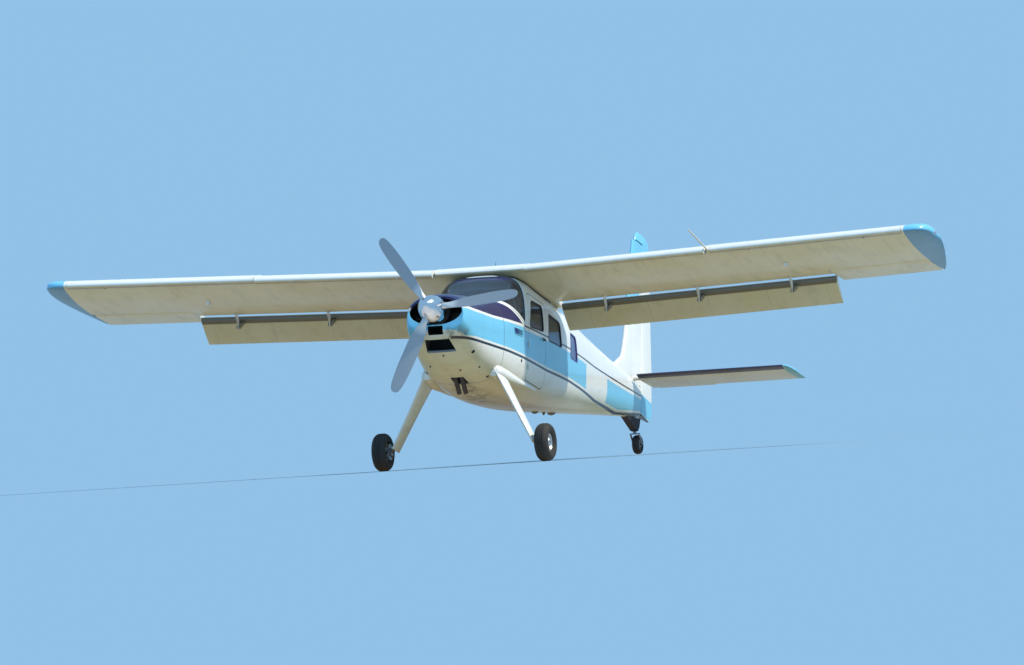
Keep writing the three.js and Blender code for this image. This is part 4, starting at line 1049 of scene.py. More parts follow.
case_rows = ((0.560, 0.080, 0.080), (0.620, 0.150, 0.120), (1.400, 0.150, 0.120))
crankcase = loft("crankcase", [[(x * wide, y, z * high) for x, z in rounded(SQUARE, 0.45, count=6)]
                               for y, wide, high in case_rows])
sump_line = [(x * 0.16, -0.21 + z * 0.11) for x, z in rounded(SQUARE, 0.4, count=6)]
sump = loft("sump", [[(x, y, z) for x, z in sump_line] for y in (0.800, 1.390)])
gearcase = rod("gearcase", (0, 0.405, PROP_HEIGHT), (0, 0.600, PROP_HEIGHT), 0.064, 0.085, 40)
carve(crankcase, "UNION", sump, gearcase)
dress(crankcase, CRACKLE, "airframe", "black_crackle", "engine")
fins, fin_ways, barrels = [], [], []
for side in (1, -1):
    for y in (0.650, 0.900, 1.150):
        y += 0.025 if side < 0 else 0
        for x in np.arange(0.165, 0.335, 0.011):
            fins.append((side * x, y, 0.0))
            fin_ways.append((side, 0, 0))
        barrels.append((side * 0.145, y, 0.0))
strewn("cylinder_fins", fins, fin_ways, CAST, "airframe", "cast_metal", 28, 0.094, 0.094, 0.0035)
strewn("cylinder_barrels", barrels, [(1 if b[0] > 0 else -1, 0, 0) for b in barrels], CAST, "airframe",
       "cast_metal", 24, 0.074, 0.074, 0.195)
covers = [(math.copysign(0.336, x), y, z) for x, y, z in barrels]
strewn("rocker_covers", covers, [(1 if c[0] > 0 else -1, 0, 0) for c in covers], CRACKLE, "airframe",
       "black_crackle", 24, 0.060, 0.050, 0.024)
baffle = carve(body_form("baffle", 0.760, 0.766, WALL + 0.004, 72, 0.006), "DIFFERENCE",
               rod("hole", (0, 0.75, PROP_HEIGHT), (0, 0.78, PROP_HEIGHT), 0.20, count=48))
dress(baffle, plain("baffle_seal", srgb(0.10, 0.09, 0.085), 0.8), "airframe", "black_rubberised")



def lane(x, share):
    """A point of an exhaust stack's slanted end."""
    return (x, 1.312 + share * 0.200, -0.590 - share * 0.185)


exhaust = None
for x in (-0.044, 0.044):
    pipe = rod("pipe", lane(x, -0.08), lane(x, 1), 0.030, count=32)
    carve(pipe, "DIFFERENCE", rod("bore", lane(x, 0.6), lane(x, 1.1), 0.0255, count=32))
    carve(pipe, "UNION", rod("riser", (x, 1.292, -0.328), (x, 1.312, -0.590), 0.030, count=32))
    exhaust = pipe if exhaust is None else carve(exhaust, "UNION", pipe)
carve(exhaust, "UNION", block("collector", -0.066, 0.066, 1.287, 1.337, -0.602, -0.556))
dress(exhaust, SCORCHED, "airframe", "scorched_steel", "exhaust_stacks")


# Propeller: three forged light-alloy blades in a steel hub, turned to a coarse pitch at the root.
# They are dull from wear, and brighter near the hub. The spinner is spun from polished sheet.
BLADE_TURNS = [math.radians(a) for a in (126, 6, 246)]
blade_table = np.array([
    # radius, chord, thickness, blade angle
    (0.095, 0.084, 0.084, 45), (0.190, 0.084, 0.080, 45), (0.300, 0.150, 0.044, 42),
    (0.510, 0.186, 0.028, 33), (0.780, 0.184, 0.019, 25), (1.020, 0.158, 0.013, 20),
    (1.142, 0.104, 0.009, 18), (1.170, 0.040, 0.005, 17),
])
blade_stations = np.concatenate([np.linspace(0.095, 0.30, 7), np.linspace(0.36, 1.02, 12),
                                 np.linspace(1.06, 1.142, 5), [1.156, 1.166, 1.170]])


def blade_ring(radius, angle, count=28):
    width, thick, twist = (smooth(blade_table[:, 0], blade_table[:, k], radius) for k in (1, 2, 3))
    turn = full_turn(count)
    flat = np.clip((radius - 0.19) / 0.15, 0, 1)
    u, v = width / 2 * np.cos(turn), thick / 2 * np.sin(turn) * (1 - 0.45 * flat * (np.sin(turn) < 0))
    v = v + 0.12 * thick * flat * (1 - np.cos(turn) ** 2)
    lean = math.radians(float(twist))
    across, aft = u * math.cos(lean) - v * math.sin(lean), u * math.sin(lean) + v * math.cos(lean)
    cos, sin = math.cos(angle), math.sin(angle)
    return np.stack([radius * cos - across * sin, PROP_STATION + aft,
                     PROP_HEIGHT + radius * sin + across * cos], 1)


hub = rod("propeller_blades", (0, PROP_STATION - 0.075, PROP_HEIGHT), (0, PROP_STATION + 0.075, PROP_HEIGHT),
          0.112, count=48)
carve(hub, "UNION", rod("shaft", (0, 0.235, PROP_HEIGHT), (0, 0.399, PROP_HEIGHT), 0.060, count=40))
for angle in BLADE_TURNS:
    carve(hub, "UNION", loft("blade", [blade_ring(r, angle) for r in blade_stations]))
blade_metal = Finish("blade_metal", Metallic=0.75)
beside, above = blade_metal.x, blade_metal.z - PROP_HEIGHT
reach_out = (beside * beside + above * above).math("SQRT")
scuffs = blade_metal.noise(60, 5, 0.6, stretch=(1, 1, 1))
tone = blade_metal.mix(scuffs, srgb(0.62, 0.63, 0.65), srgb(0.70, 0.71, 0.73))
tone = blade_metal.mix(1 - reach_out.past(0.34, 0.04), tone, srgb(0.82, 0.82, 0.82))
blade_metal.give(Base_Color=tone, Roughness=0.30 + 0.22 * scuffs)
dress(hub, blade_metal.bump(scuffs, 0.2, 0.0006).material, "propeller_and_spinner", "blade_metal",
      "propeller", crease=40)

profile = rounded_line([(0, 0), (0.022, 0.0035), (0.048, 0.022), (0.092, 0.062), (0.130, 0.122),
                        (0.157, 0.196), (0.174, 0.275), (0.180, 0.350)], 34)
turn = full_turn(96)
rings = []
for radius, along in profile[1:]:
    rings.append(np.stack([radius * np.cos(turn), np.full(96, PROP_STATION - 0.235 + along),
                           PROP_HEIGHT + radius * np.sin(turn)], 1))
spinner = loft("spinner_shell", rings)
room = rod("room", (0, PROP_STATION - 0.080, PROP_HEIGHT), (0, PROP_STATION + 0.160, PROP_HEIGHT), 0.118,
           count=48)
carve(spinner, "DIFFERENCE", room)
for angle in BLADE_TURNS:
    end = (0.26 * math.cos(angle), PROP_STATION, PROP_HEIGHT + 0.26 * math.sin(angle))
    carve(spinner, "DIFFERENCE", rod("room", (0, PROP_STATION, PROP_HEIGHT), end, 0.054, count=40))
polish = Finish("polished_sheet", Metallic=1.0)
swirl = polish.noise(9, 3, 0.5, stretch=(1, 6, 1))
polish.give(Base_Color=polish.mix(swirl, srgb(0.80, 0.81, 0.83), srgb(0.90, 0.91, 0.92)),
            Roughness=0.10 + 0.14 * swirl)
POLISHED = polish.bump(swirl, 0.1, 0.0004).material
dress(spinner, POLISHED, "propeller_and_spinner", "polished_metal", "spinner")
screw_places, screw_ways = [], []
for k in range(30):
    a = (k + 0.5) * 2 * math.pi / 30
    if min(abs((a - b + math.pi) % (2 * math.pi) - math.pi) for b in BLADE_TURNS) > 0.12:
        screw_places.append((0.1765 * math.cos(a), PROP_STATION + 0.062, PROP_HEIGHT + 0.1765 * math.sin(a)))
        screw_ways.append((math.cos(a), -0.1, math.sin(a)))
strewn("spinner_screws", screw_places, screw_ways, BARE, "propeller_and_spinner", "bare_metal", 8, 0.005,
       0.003, 0.0022)


# Main gear: two long tapered legs of pressed and riveted sheet around a forging, raked outwards, with
# a blister over each root, a stub axle, a disc brake and a low-pressure tyre on a split wheel.
WHEEL = (1.090, 1.600, -1.465)
LEG_TOP, LEG_FOOT = (0.440, 1.585, -0.470), (0.938, 1.648, -1.440)
leg_table = np.array([(0, 0.440, 0.086), (0.2, 0.390, 0.080), (0.5, 0.315, 0.072), (0.9, 0.272, 0.060),
                      (1.0, 0.262, 0.054)])
fairing_table = np.array([
    # station, x and height of the middle, half depth, half height
    (1.375, 0.446, -0.535, 0.020, 0.022), (1.402, 0.450, -0.536, 0.070, 0.076),
    (1.520, 0.458, -0.536, 0.092, 0.100), (1.720, 0.468, -0.534, 0.096, 0.102),
    (1.920, 0.484, -0.528, 0.088, 0.086), (2.220, 0.512, -0.510, 0.060, 0.056),
    (2.560, 0.545, -0.488, 0.028, 0.030), (2.760, 0.560, -0.476, 0.010, 0.012),
])


def leg_ring(share, side, grow=0.0, count=28):
    long, thick = (smooth(leg_table[:, 0], leg_table[:, k], share) + grow for k in (1, 2))
    turn = full_turn(count)
    back, out = long / 2 * np.cos(turn), thick / 2 * np.sin(turn)
    x = side * (LEG_TOP[0] + share * (LEG_FOOT[0] - LEG_TOP[0]) + out * 0.85)
    return np.stack([x, LEG_TOP[1] + share * (LEG_FOOT[1] - LEG_TOP[1]) + back,
                     LEG_TOP[2] + share * (LEG_FOOT[2] - LEG_TOP[2]) + out * 0.5], 1)


def fairing_ring(station, side, count=28):
    x, z, deep, high = (smooth(fairing_table[:, 0], fairing_table[:, k], station) for k in (1, 2, 3, 4))
    turn = full_turn(count)
    return np.stack([side * (x + deep * np.cos(turn)), np.full(count, station), z + high * np.sin(turn)], 1)


def turned_about_axle(name, profile, middle, side=1, count=96):
    """A ring about a wheel's axle from its closed (radius, x) section."""
    rings = []
    for a in full_turn(count):
        rings.append([(middle[0] + side * x, middle[1] + r * math.cos(a), middle[2] + r * math.sin(a))
                      for r, x in profile])
    return loft(name, rings, closed=True)


def mirrored(section, middle=()):
    """A wheel's section, what lies in its middle, and the section's mirror image."""
    return section + list(middle) + [(r, -x) for r, x in section[::-1]]


def rubber():
    made = Finish("tyre_rubber", Roughness=0.8)
    dust = made.noise(18, 5, 0.65)
    made.give(Base_Color=made.mix(dust, srgb(0.11, 0.11, 0.115), srgb(0.23, 0.215, 0.195)))
    return made.bump(dust, 0.4, 0.001).material


RUBBER = rubber()
tyre_section = [(0.112, -0.058), (0.118, -0.066), (0.140, -0.082), (0.165, -0.0905), (0.188, -0.094),
                (0.208, -0.087), (0.226, -0.070), (0.2345, -0.058), (0.2395, -0.043)]
grooves = []
for x in (-0.030, 0.0, 0.030):
    grooves += [(0.2425, x - 0.005), (0.2365, x - 0.004), (0.2365, x + 0.004), (0.2425, x + 0.005)]
tyre_section = mirrored(tyre_section, grooves)
hub_section = [(0.022, -0.050), (0.060, -0.050), (0.068, -0.030), (0.094, -0.030), (0.1060, -0.050),
               (0.1115, -0.056), (0.1115, 0.056), (0.1060, 0.050), (0.094, 0.034), (0.060, 0.040),
               (0.056, 0.052), (0.048, 0.062), (0.022, 0.062)]
fairing_stations = np.unique(np.concatenate([np.linspace(1.375, 1.402, 5), np.linspace(1.402, 1.56, 7),
                                             np.linspace(1.6, 2.76, 24)]))


def on_axle(x, side):
    return (side * x, *WHEEL[1:])


def axle_rod(name, side, x0, x1, radius, count):
    return rod(name, on_axle(x0, side), on_axle(x1, side), radius, count=count)


for name, side in SIDES.items():
    leg = loft("leg_skin_" + name, [leg_ring(share, side) for share in np.linspace(0, 1, 17)])
    carve(leg, "DIFFERENCE", body_form("outside", 1.0, 3.2, -HAIR, 96))
    dress(leg, PLAIN_WHITE, "airframe", "white_paint", "gear_leg_" + name, crease=45)
    blister = loft("leg_blister_" + name, [fairing_ring(y, side) for y in fairing_stations])
    carve(blister, "DIFFERENCE", body_form("outside", 1.0, 3.2, -HAIR, 96),
          loft("room", [leg_ring(share, side, 0.008) for share in np.linspace(-0.1, 1, 18)]))
    dress(blister, PLAIN_WHITE, "airframe", "white_paint", "gear_fairing_" + name)
    middle = on_axle(WHEEL[0], side)
    dress(turned_about_axle("main_tyre_ring_" + name, tyre_section, middle, side), RUBBER,
          "main_wheel_" + name, "tyre_rubber", "main_tyre_" + name)
    dress(turned_about_axle("main_wheel_rim_" + name, hub_section, middle, side, 72),
          plain("wheel_silver_" + name, srgb(0.72, 0.73, 0.74), 0.35, 0.6, 90, 0.35), "main_wheel_" + name,
          "bare_metal", "main_hub_" + name, crease=38)
    bolts, ways = [], []
    for k in range(8):
        a = (k + 0.5) * math.pi / 4
        bolts.append((side * (WHEEL[0] + 0.0355), WHEEL[1] + 0.078 * math.cos(a),
                      WHEEL[2] + 0.078 * math.sin(a)))
        ways.append((side, 0, 0))
    strewn("main_wheel_bolts_" + name, bolts, ways, BARE, "main_wheel_" + name, "bare_metal", 6, 0.009,
           0.0085, 0.009)
    axle = axle_rod("axle_parts_" + name, side, LEG_FOOT[0] + 0.024, WHEEL[0] + 0.045, 0.019, 32)
    carve(axle, "UNION", axle_rod("flange", side, LEG_FOOT[0] + 0.030, WHEEL[0] - 0.088, 0.048, 40),
          axle_rod("disc", side, WHEEL[0] - 0.100, WHEEL[0] - 0.094, 0.105, 64))
    dress(axle, BARE, "airframe", "bare_metal", "axle_" + name)
    caliper = block("brake_caliper_" + name, side * (WHEEL[0] - 0.122), side * (WHEEL[0] - 0.088),
                    WHEEL[1] + 0.040, WHEEL[1] + 0.115, WHEEL[2] - 0.045, WHEEL[2] + 0.045)
    carve(caliper, "DIFFERENCE", axle_rod("slot", side, WHEEL[0] - 0.104, WHEEL[0] - 0.084, 0.109, 64))
    dress(caliper, CAST, "airframe", "cast_metal")


# Tail wheel: a steel fork that swivels in a dark boot under the tail, with a small solid tyre.
# It is laid out level about the wheel's middle, because the fork's own axis stands upright.
TAIL_WHEEL = (8.770, 0.254)


def tail_level(points):
    """Points laid out level about the tail wheel's middle, in the datum."""
    return np.asarray(points, float) @ LEVELLED + np.array([0, *TAIL_WHEEL])


def tail_rod(name, a, b, radius, end_radius=None, count=32):
    a, b = tail_level([a, b])
    return rod(name, a, b, radius, end_radius, count)


def tail_prism(name, outline, x0, x1):
    return loft(name, [tail_level([(x, y, z) for y, z in outline]) for x in (x0, x1)])


trail = 0.095
boot_line = [(8.150, 0.500), (8.740, 0.590), (8.700, 0.470), (8.650, 0.405), (8.580, 0.400)]
boot = carve(side_prism("tail_boot", boot_line, -0.045, 0.045), "UNION",
             tail_rod("post", (0, -trail, 0.172), (0, -trail, 0.260), 0.030, 0.038))
carve(boot, "DIFFERENCE", tail_rod("socket", (0, -trail, 0.160), (0, -trail, 0.236), 0.0135),
      body_form("outside", CABIN_END, TAIL_POST, -HAIR))
boot_rubber = plain("boot_rubber", srgb(0.13, 0.12, 0.15), 0.75, grain=90, depth=0.001)
dress(boot, boot_rubber, "airframe", "black_rubberised", "tail_gear_mount", crease=25)
inner_x = 0.054
fork = tail_rod("tail_fork_frame", (0, -trail, 0.148), (0, -trail, 0.170), 0.024)
arm = rounded([(-trail - 0.026, 0.146), (-trail + 0.026, 0.146), (0.016, 0.012), (0.010, -0.018),
               (-0.012, -0.018), (-0.018, 0.0)], 0.008, count=4)
for side in (1, -1):
    carve(fork, "UNION", tail_prism("arm", arm, side * inner_x, side * (inner_x + 0.010)))
crown = rounded([(-trail - 0.026, 0.134), (-trail + 0.026, 0.134), (-trail + 0.026, 0.150),
                 (-trail - 0.026, 0.150)], 0.005, count=4)
carve(fork, "UNION", tail_prism("crown", crown, -inner_x - 0.010, inner_x + 0.010),
      tail_rod("stem", (0, -trail, 0.165), (0, -trail, 0.228), 0.0125),
      tail_rod("pin", (-inner_x - 0.014, 0, 0), (inner_x + 0.014, 0, 0), 0.010))
dress(fork, BARE, "tail_wheel_fork", "bare_metal", "tail_fork")
tail_tyre = [(0.062, -0.030), (0.084, -0.042), (0.095, -0.0455), (0.106, -0.046), (0.114, -0.039),
             (0.120, -0.030), (0.1238, -0.020), (0.125, -0.012)]
tail_groove = [(0.125, -0.003), (0.121, -0.002), (0.121, 0.002), (0.125, 0.003)]
tail_tyre = mirrored(tail_tyre, tail_groove)
tail_hub = [(0.013, -0.034), (0.030, -0.034), (0.036, -0.020), (0.056, -0.020), (0.0615, -0.028)]
tail_hub = mirrored(tail_hub)
dress(turned_about_axle("tail_tyre_ring", tail_tyre, (0, *TAIL_WHEEL), 1, 72), RUBBER, "tail_wheel",
      "tyre_rubber", "tail_tyre")
dress(turned_about_axle("tail_wheel_rim", tail_hub, (0, *TAIL_WHEEL), 1, 60), BARE, "tail_wheel",
      "bare_metal", "tail_hub")


# Seats: two front seats and two benches, each a foam pan and back sewn into woven cloth with welted
# channels, on a sheet-metal box that is screwed to the floor. The covers swell over the foam.
def rounded_box(name, x0, x1, line, bulge=0.03, count=10):
    """A pad from its side view, which closes over its ends with rounded shoulders."""
    line = np.asarray(line, float)
    centre = line.mean(0)
    rings = []
    for u in np.linspace(-1, 1, count):
        x = (x0 + x1) / 2 + u * (x1 - x0) / 2
        shrink = bulge * (1 - math.sqrt(max(0.0, 1 - abs(u) ** 6)))
        arm = line - centre
        length = np.linalg.norm(arm, axis=1)[:, None]
        rings.append([(x, y, z) for y, z in centre + arm * (1 - shrink / length)])
    return loft(name, rings)


cloth_finish = Finish("seat_cloth")
warp = cloth_finish.noise(900, 2, 0.5, stretch=(1, 6, 1))
weft = cloth_finish.noise(900, 2, 0.5, stretch=(6, 1, 6))
worn = cloth_finish.noise(7, 3, 0.6)
cloth_finish.give(Base_Color=cloth_finish.mix(worn * 0.6 + warp * 0.4, srgb(0.30, 0.32, 0.38),
                                              srgb(0.44, 0.46, 0.52)),
                  Roughness=0.82 + 0.12 * weft)
SEAT_CLOTH = cloth_finish.bump(warp + weft, 0.5, 0.001).material


def swollen(pad, voxel=0.006, most=0.014):
    """The pad's cover, filled until it pulls tight: a short cloth simulation, applied."""
    pad.data.remesh_voxel_size = voxel
    shape = pad.modifiers.new("even", "REMESH")
    shape.mode = "VOXEL"
    shape.voxel_size = voxel
    baked(pad)
    start = np.empty(len(pad.data.vertices) * 3)
    pad.data.vertices.foreach_get("co", start)
    cloth = pad.modifiers.new("cloth", "CLOTH")
    cloth.settings.use_pressure = True
    cloth.settings.uniform_pressure_force = 4
    cloth.settings.effector_weights.gravity = 0
    cloth.settings.quality = 4
    scene = bpy.context.scene
    for frame_number in range(1, 21):
        scene.frame_set(frame_number)
    baked(pad)
    scene.frame_set(1)
    end = np.empty(len(start))
    pad.data.vertices.foreach_get("co", end)
    move = (end - start).reshape(-1, 3)
    length = np.linalg.norm(move, axis=1)
    move *= np.minimum(1, most / np.maximum(length, 1e-9))[:, None]
    pad.data.vertices.foreach_set("co", (start + move.ravel()))
    pad.data.update()
    return pad


def channelled(pad, lines, depth=0.007, width=0.007):
    """Sewn channels: the cover drawn in along upright planes at a distance across."""
    mesh = pad.data
    count = len(mesh.vertices)
    co, no = np.empty(count * 3), np.empty(count * 3)
    mesh.vertices.foreach_get("co", co)
    mesh.vertex_normals.foreach_get("vector", no)
    w, n = co.reshape(-1, 3), no.reshape(-1, 3)
    across = datum_of(w)[:, 0]
    pull = sum(np.exp(-((across - line) / width) ** 2) for line in lines)
    mesh.vertices.foreach_set("co", (w - n * (depth * pull)[:, None]).ravel())
    mesh.update()
    return pad


FLOOR_TOP = -0.380
SEAT, BENCH = (2.620, 0.430), (3.380, 0.900)
PAD_WAYS = {
    # place and width of the pads: voxel of the cloth simulation, sewn channels
    SEAT: (0.006, [k * SEAT[1] / 4 for k in (-1, 0, 1)]),
    BENCH: (0.009, [k * 0.15 for k in (-2, -1, 0, 1, 2)]),
}
seat_rows = [
    # node, middle x, y, width, height of the foot, the pads that it uses
    ("front_seat_port", 0.270, *SEAT, FLOOR_TOP, SEAT),
    ("front_seat_starboard", -0.270, *SEAT, FLOOR_TOP, SEAT),
    ("middle_bench", 0.0, *BENCH, FLOOR_TOP, BENCH),
    ("rear_bench", 0.0, 4.080, 0.620, -0.280, BENCH),
]
pads = {}
for pair, (voxel, channels) in PAD_WAYS.items():
    y, half = pair[0], pair[1] / 2 - 0.010
    pan_line = [(y - 0.230, -0.190), (y + 0.220, -0.190), (y + 0.220, -0.090), (y - 0.230, -0.090)]
    back_line = [(y + 0.160, -0.080), (y + 0.240, -0.080), (y + 0.318, 0.460), (y + 0.250, 0.460)]
    pan = rounded_box("pan", -half, half, rounded(pan_line, 0.035, count=6), 0.035)
    backrest = rounded_box("backrest", -half, half, rounded(back_line, 0.030, count=6), 0.03)
    pads[pair] = [channelled(swollen(pad, voxel), channels) for pad in (pan, backrest)]
for node, x, y, width, foot, pair in seat_rows:
    move = stood_way((0, y - pair[0], 0))
    for pad, kind in zip(pads[pair], ("pan", "backrest")):
        cushion = copy_of(pad)
        cushion.name = f"{node}_{kind}"
        narrowed = Matrix.Diagonal((width / pair[1], 1, 1, 1))
        cushion.data.transform(Matrix.Translation((x, *move[1:])) @ narrowed)
        dress(cushion, SEAT_CLOTH, "airframe", "seat_cloth", node, crease=60)
    box_line = [(y - 0.205, foot + HAIR), (y + 0.185, foot + HAIR), (y + 0.170, -0.194), (y - 0.190, -0.194)]
    half = width / 2 - 0.040
    base = side_prism(node + "_box", rounded(box_line, 0.012, count=4), x - half, x + half)
    dress(base, CRACKLE, "airframe", "black_crackle", node)
for pad in sum(pads.values(), []):
    bpy.data.objects.remove(pad)


# Inside the cabin: an instrument board with round dials and two half-wheel yokes under a dark coaming,
# a floor with rubber matting, a lined bulkhead, and white steel tubes that brace the screen's frame.
def tube(name, path, radius, count=14):
    """A round bar along a smooth path of datum points."""
    path = np.asarray(path, float)
    tangent = np.gradient(path, axis=0)
    tangent /= np.linalg.norm(tangent, axis=1)[:, None]
    side = np.cross(tangent[0], (0, 0, 1) if abs(tangent[0][2]) < 0.9 else (1, 0, 0))
    rings = []
    turn = full_turn(count)
    for place, ahead in zip(path, tangent):
        side = side - ahead * (side @ ahead)
        side /= np.linalg.norm(side)
        over = np.cross(ahead, side)
        rings.append(place + radius * (np.cos(turn)[:, None] * side + np.sin(turn)[:, None] * over))
    return loft(name, rings)


def bent(points, radius=0.04, count=6):
    """The points of a bar that is bent on a radius at each inner corner."""
    points = [np.asarray(p, float) for p in points]
    line = [points[0]]
    for before, corner, after in zip(points, points[1:], points[2:]):
        line += eased(before, corner, after, radius, count)
    return np.array(line + [points[-1]])


board_line = rounded([(-0.500, -0.055), (0.500, -0.055), (0.440, 0.395), (-0.440, 0.395)], 0.05)
board = across_prism("instrument_board", board_line, 1.706, 1.734)
carve(board, "INTERSECT", body_form("room", 1.6, 1.8, 0.037, 96, 0.02))
dress(board, CRACKLE, "airframe", "black_crackle", "instrument_panel")
dials, small = [], []
for side in (1, -1):
    for column in range(3):
        for row in range(2):
            dials.append((side * 0.27 + (column - 1) * 0.094, 1.734, 0.215 + row * 0.094))
for column in range(4):
    for row in range(3):
        small.append(((column - 1.5) * 0.062, 1.734, 0.035 + row * 0.055))
strewn("dial_bezels", dials, [(0, 1, 0)] * len(dials), CRACKLE, "airframe", "black_crackle", 32, 0.043, 0.040,
       0.006)
dial_face = plain("dial_face", srgb(0.10, 0.10, 0.11), 0.25, grain=700, Coat_Weight=0.6)
strewn("dial_faces", [(x, y + 0.0045, z) for x, y, z in dials], [(0, 1, 0)] * len(dials), dial_face,
       "airframe", "black_crackle", 32, 0.035, 0.035, 0.003)
strewn("small_dials", small, [(0, 1, 0)] * len(small), BARE, "airframe", "bare_metal", 20, 0.022, 0.020,
       0.008)
for name, side in SIDES.items():
    middle = side * 0.270
    column = tube("yoke_" + name, bent([(middle, 1.735, 0.130), (middle, 1.965, 0.152),
                                        (middle, 1.970, 0.160)], 0.006), 0.014)
    wheel = tube("wheel", bent([(middle - 0.15, 1.965, 0.268), (middle - 0.15, 1.965, 0.155),
                                (middle + 0.15, 1.965, 0.155), (middle + 0.15, 1.965, 0.268)], 0.05, 8),
                 0.014)
    carve(column, "UNION", wheel)
    dress(column, CRACKLE, "airframe", "black_crackle", "instrument_panel")

coaming = []
for y, z in ((1.512, 0.405), (1.60, 0.412), (1.70, 0.410), (1.765, 0.400), (1.775, 0.385)):
    half, middle, top, bottom, above, below = body_at(y)
    reach_x = (half - 0.040) * (1 - ((z - middle) / (top - middle)) ** above) ** (1 / above) - 0.030
    xs = np.linspace(-reach_x, reach_x, 15)
    crown = z - 0.05 * (xs / reach_x) ** 4
    upper = [(x, y, h) for x, h in zip(xs, crown)]
    coaming.append(upper + [(x, y, h - 0.006) for x, y, h in upper[::-1]])
coaming_cloth = plain("coaming_cover", srgb(0.085, 0.085, 0.09), 0.85, grain=500, depth=0.0012)
dress(loft("screen_coaming", coaming), coaming_cloth, "airframe", "black_crackle")

joint = np.array([0.343, 2.300, 0.790])
tubes = rod("screen_braces", joint * (-1, 1, 1), joint, 0.013)
for side in (1, -1):
    at_joint = joint * (side, 1, 1)
    for x, y, z in ((0.048, 1.762, 0.336), (0.540, 2.216, 0.262), (0.343, 2.321, 0.862)):
        carve(tubes, "UNION", rod("brace", (side * x, y, z), at_joint, 0.013))
    carve(tubes, "UNION", rod("collar", at_joint - (0, 0, 0.024), at_joint + (0, 0, 0.024), 0.021))
    carve(tubes, "UNION", rod("flange", (side * 0.048, 1.760, 0.334), (side * 0.0505, 1.7645, 0.338), 0.026))
dress(tubes, DULL_WHITE, "airframe", "white_paint", "windscreen_tubes")

mat = plain("floor_mat", srgb(0.20, 0.20, 0.21), 0.85, grain=260, depth=0.0015)
trim = plain("bulkhead_trim", srgb(0.47, 0.46, 0.44), 0.8, grain=320)
for node, material in (("cabin_floor", mat), ("rear_bulkhead", trim), ("firewall", BARE)):
    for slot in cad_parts[node].material_slots:
        slot.material = material


# Glazing seals: black rubber channels round every window, and a white fairing strip over the
# windscreen's foot and up its rear posts. Each follows the skin that it is bonded to.
def even(outline, step=0.03, closed=True):
    """The outline with points no further apart than a step."""
    outline = np.asarray(outline, float)
    line = []
    ends = zip(outline, np.roll(outline, -1, 0)) if closed else zip(outline, outline[1:])
    for a, b in ends:
        parts = max(1, int(np.linalg.norm(b - a) / step))
        line += [a + (b - a) * k / parts for k in range(parts)]
    return np.array(line if closed else line + [outline[-1]])


def skin_facing(place, step=1e-4):
    """The way that the body's skin faces at a point of it."""
    slope = np.array([fullness(place + step * e) - fullness(place - step * e) for e in np.eye(3)])
    return slope / np.linalg.norm(slope)


def on_body(y, z, side=1, proud=0.0):
    """The point of the body's side at a station and height, and the way that its skin faces."""
    half, middle, top, bottom, above, below = body_at(y)
    rise, power = (top - middle, above) if z >= middle else (middle - bottom, below)
    share = min(abs(z - middle) / rise, 1.0)
    p = np.array([side * half * (1 - share ** power) ** (1 / power), y, z], float)
    facing = skin_facing(p)
    return p + proud * facing, facing


def edging(name, outline, side, section, closed=True):
    """A strip on the body's side along an outline in (y, z), from its (outwards, proud) section."""
    line = even(outline, closed=closed)
    if closed:
        tangent = np.roll(line, -1, 0) - np.roll(line, 1, 0)
    else:
        tangent = np.gradient(line, axis=0)
    normal = np.stack([tangent[:, 1], -tangent[:, 0]], 1)
    normal /= np.linalg.norm(normal, axis=1)[:, None]
    if closed and ((line - line.mean(0)) * normal).sum() < 0:
        normal = -normal
    rings = []
    for place, out in zip(line, normal):
        rings.append([on_body(*(place + away * out), side, proud)[0] for away, proud in section])
    return loft(name, rings, closed=closed)


seal_rubber = plain("seal_rubber", srgb(0.12, 0.12, 0.13), 0.6, grain=300)
rear_seal = plain("rear_seal_paint", srgb(0.25, 0.26, 0.48), 0.45, grain=300)
seal_section = [(-0.013, -0.0095), (-0.014, -0.004), (-0.010, 0.0015), (-0.002, 0.0032), (0.005, 0.0020),
                (0.007, -0.0005), (-0.0004, -0.0010), (-0.0006, -0.0090)]
for name, side in SIDES.items():
    for window, outline in WINDOWS.items():
        on_door = window == DOOR_WINDOW[name]
        strip = edging(f"{window}_seal_{name}", rounded(outline, WINDOW_CORNER), side, seal_section)
        dress(strip, rear_seal if window == "rear_window" else seal_rubber,
              f"{name}_door" if on_door else "airframe", "black_rubberised", crease=50)

FOOT_STRIP = [(-0.016, -0.004), (-0.016, 0.002), (-0.008, 0.0065), (0.008, 0.0065), (0.018, 0.002),
              (0.018, -0.004)]


def skin_height(x, y):
    """The height of the body's top skin."""
    half, middle, top, bottom, above, below = body_at(y)
    return middle + (top - middle) * (1 - min(abs(x) / half, 1.0) ** above) ** (1 / above)


def screen_edge(y):
    """The height of the screen's lower edge, seen from the side."""
    front, knee, foot = SCREEN_EDGE
    return float(np.interp(y, *zip(front, knee, foot)))


def ribbon(name, path, section):
    """A strip on the body along a path of points on its skin."""
    path = np.asarray(path, float)
    tangent = np.gradient(path, axis=0)
    tangent /= np.linalg.norm(tangent, axis=1)[:, None]
    rings = []
    for place, ahead in zip(path, tangent):
        facing = skin_facing(place)
        away = np.cross(ahead, facing)
        rings.append([place + a * away + p * facing for a, p in section])
    return loft(name, rings)


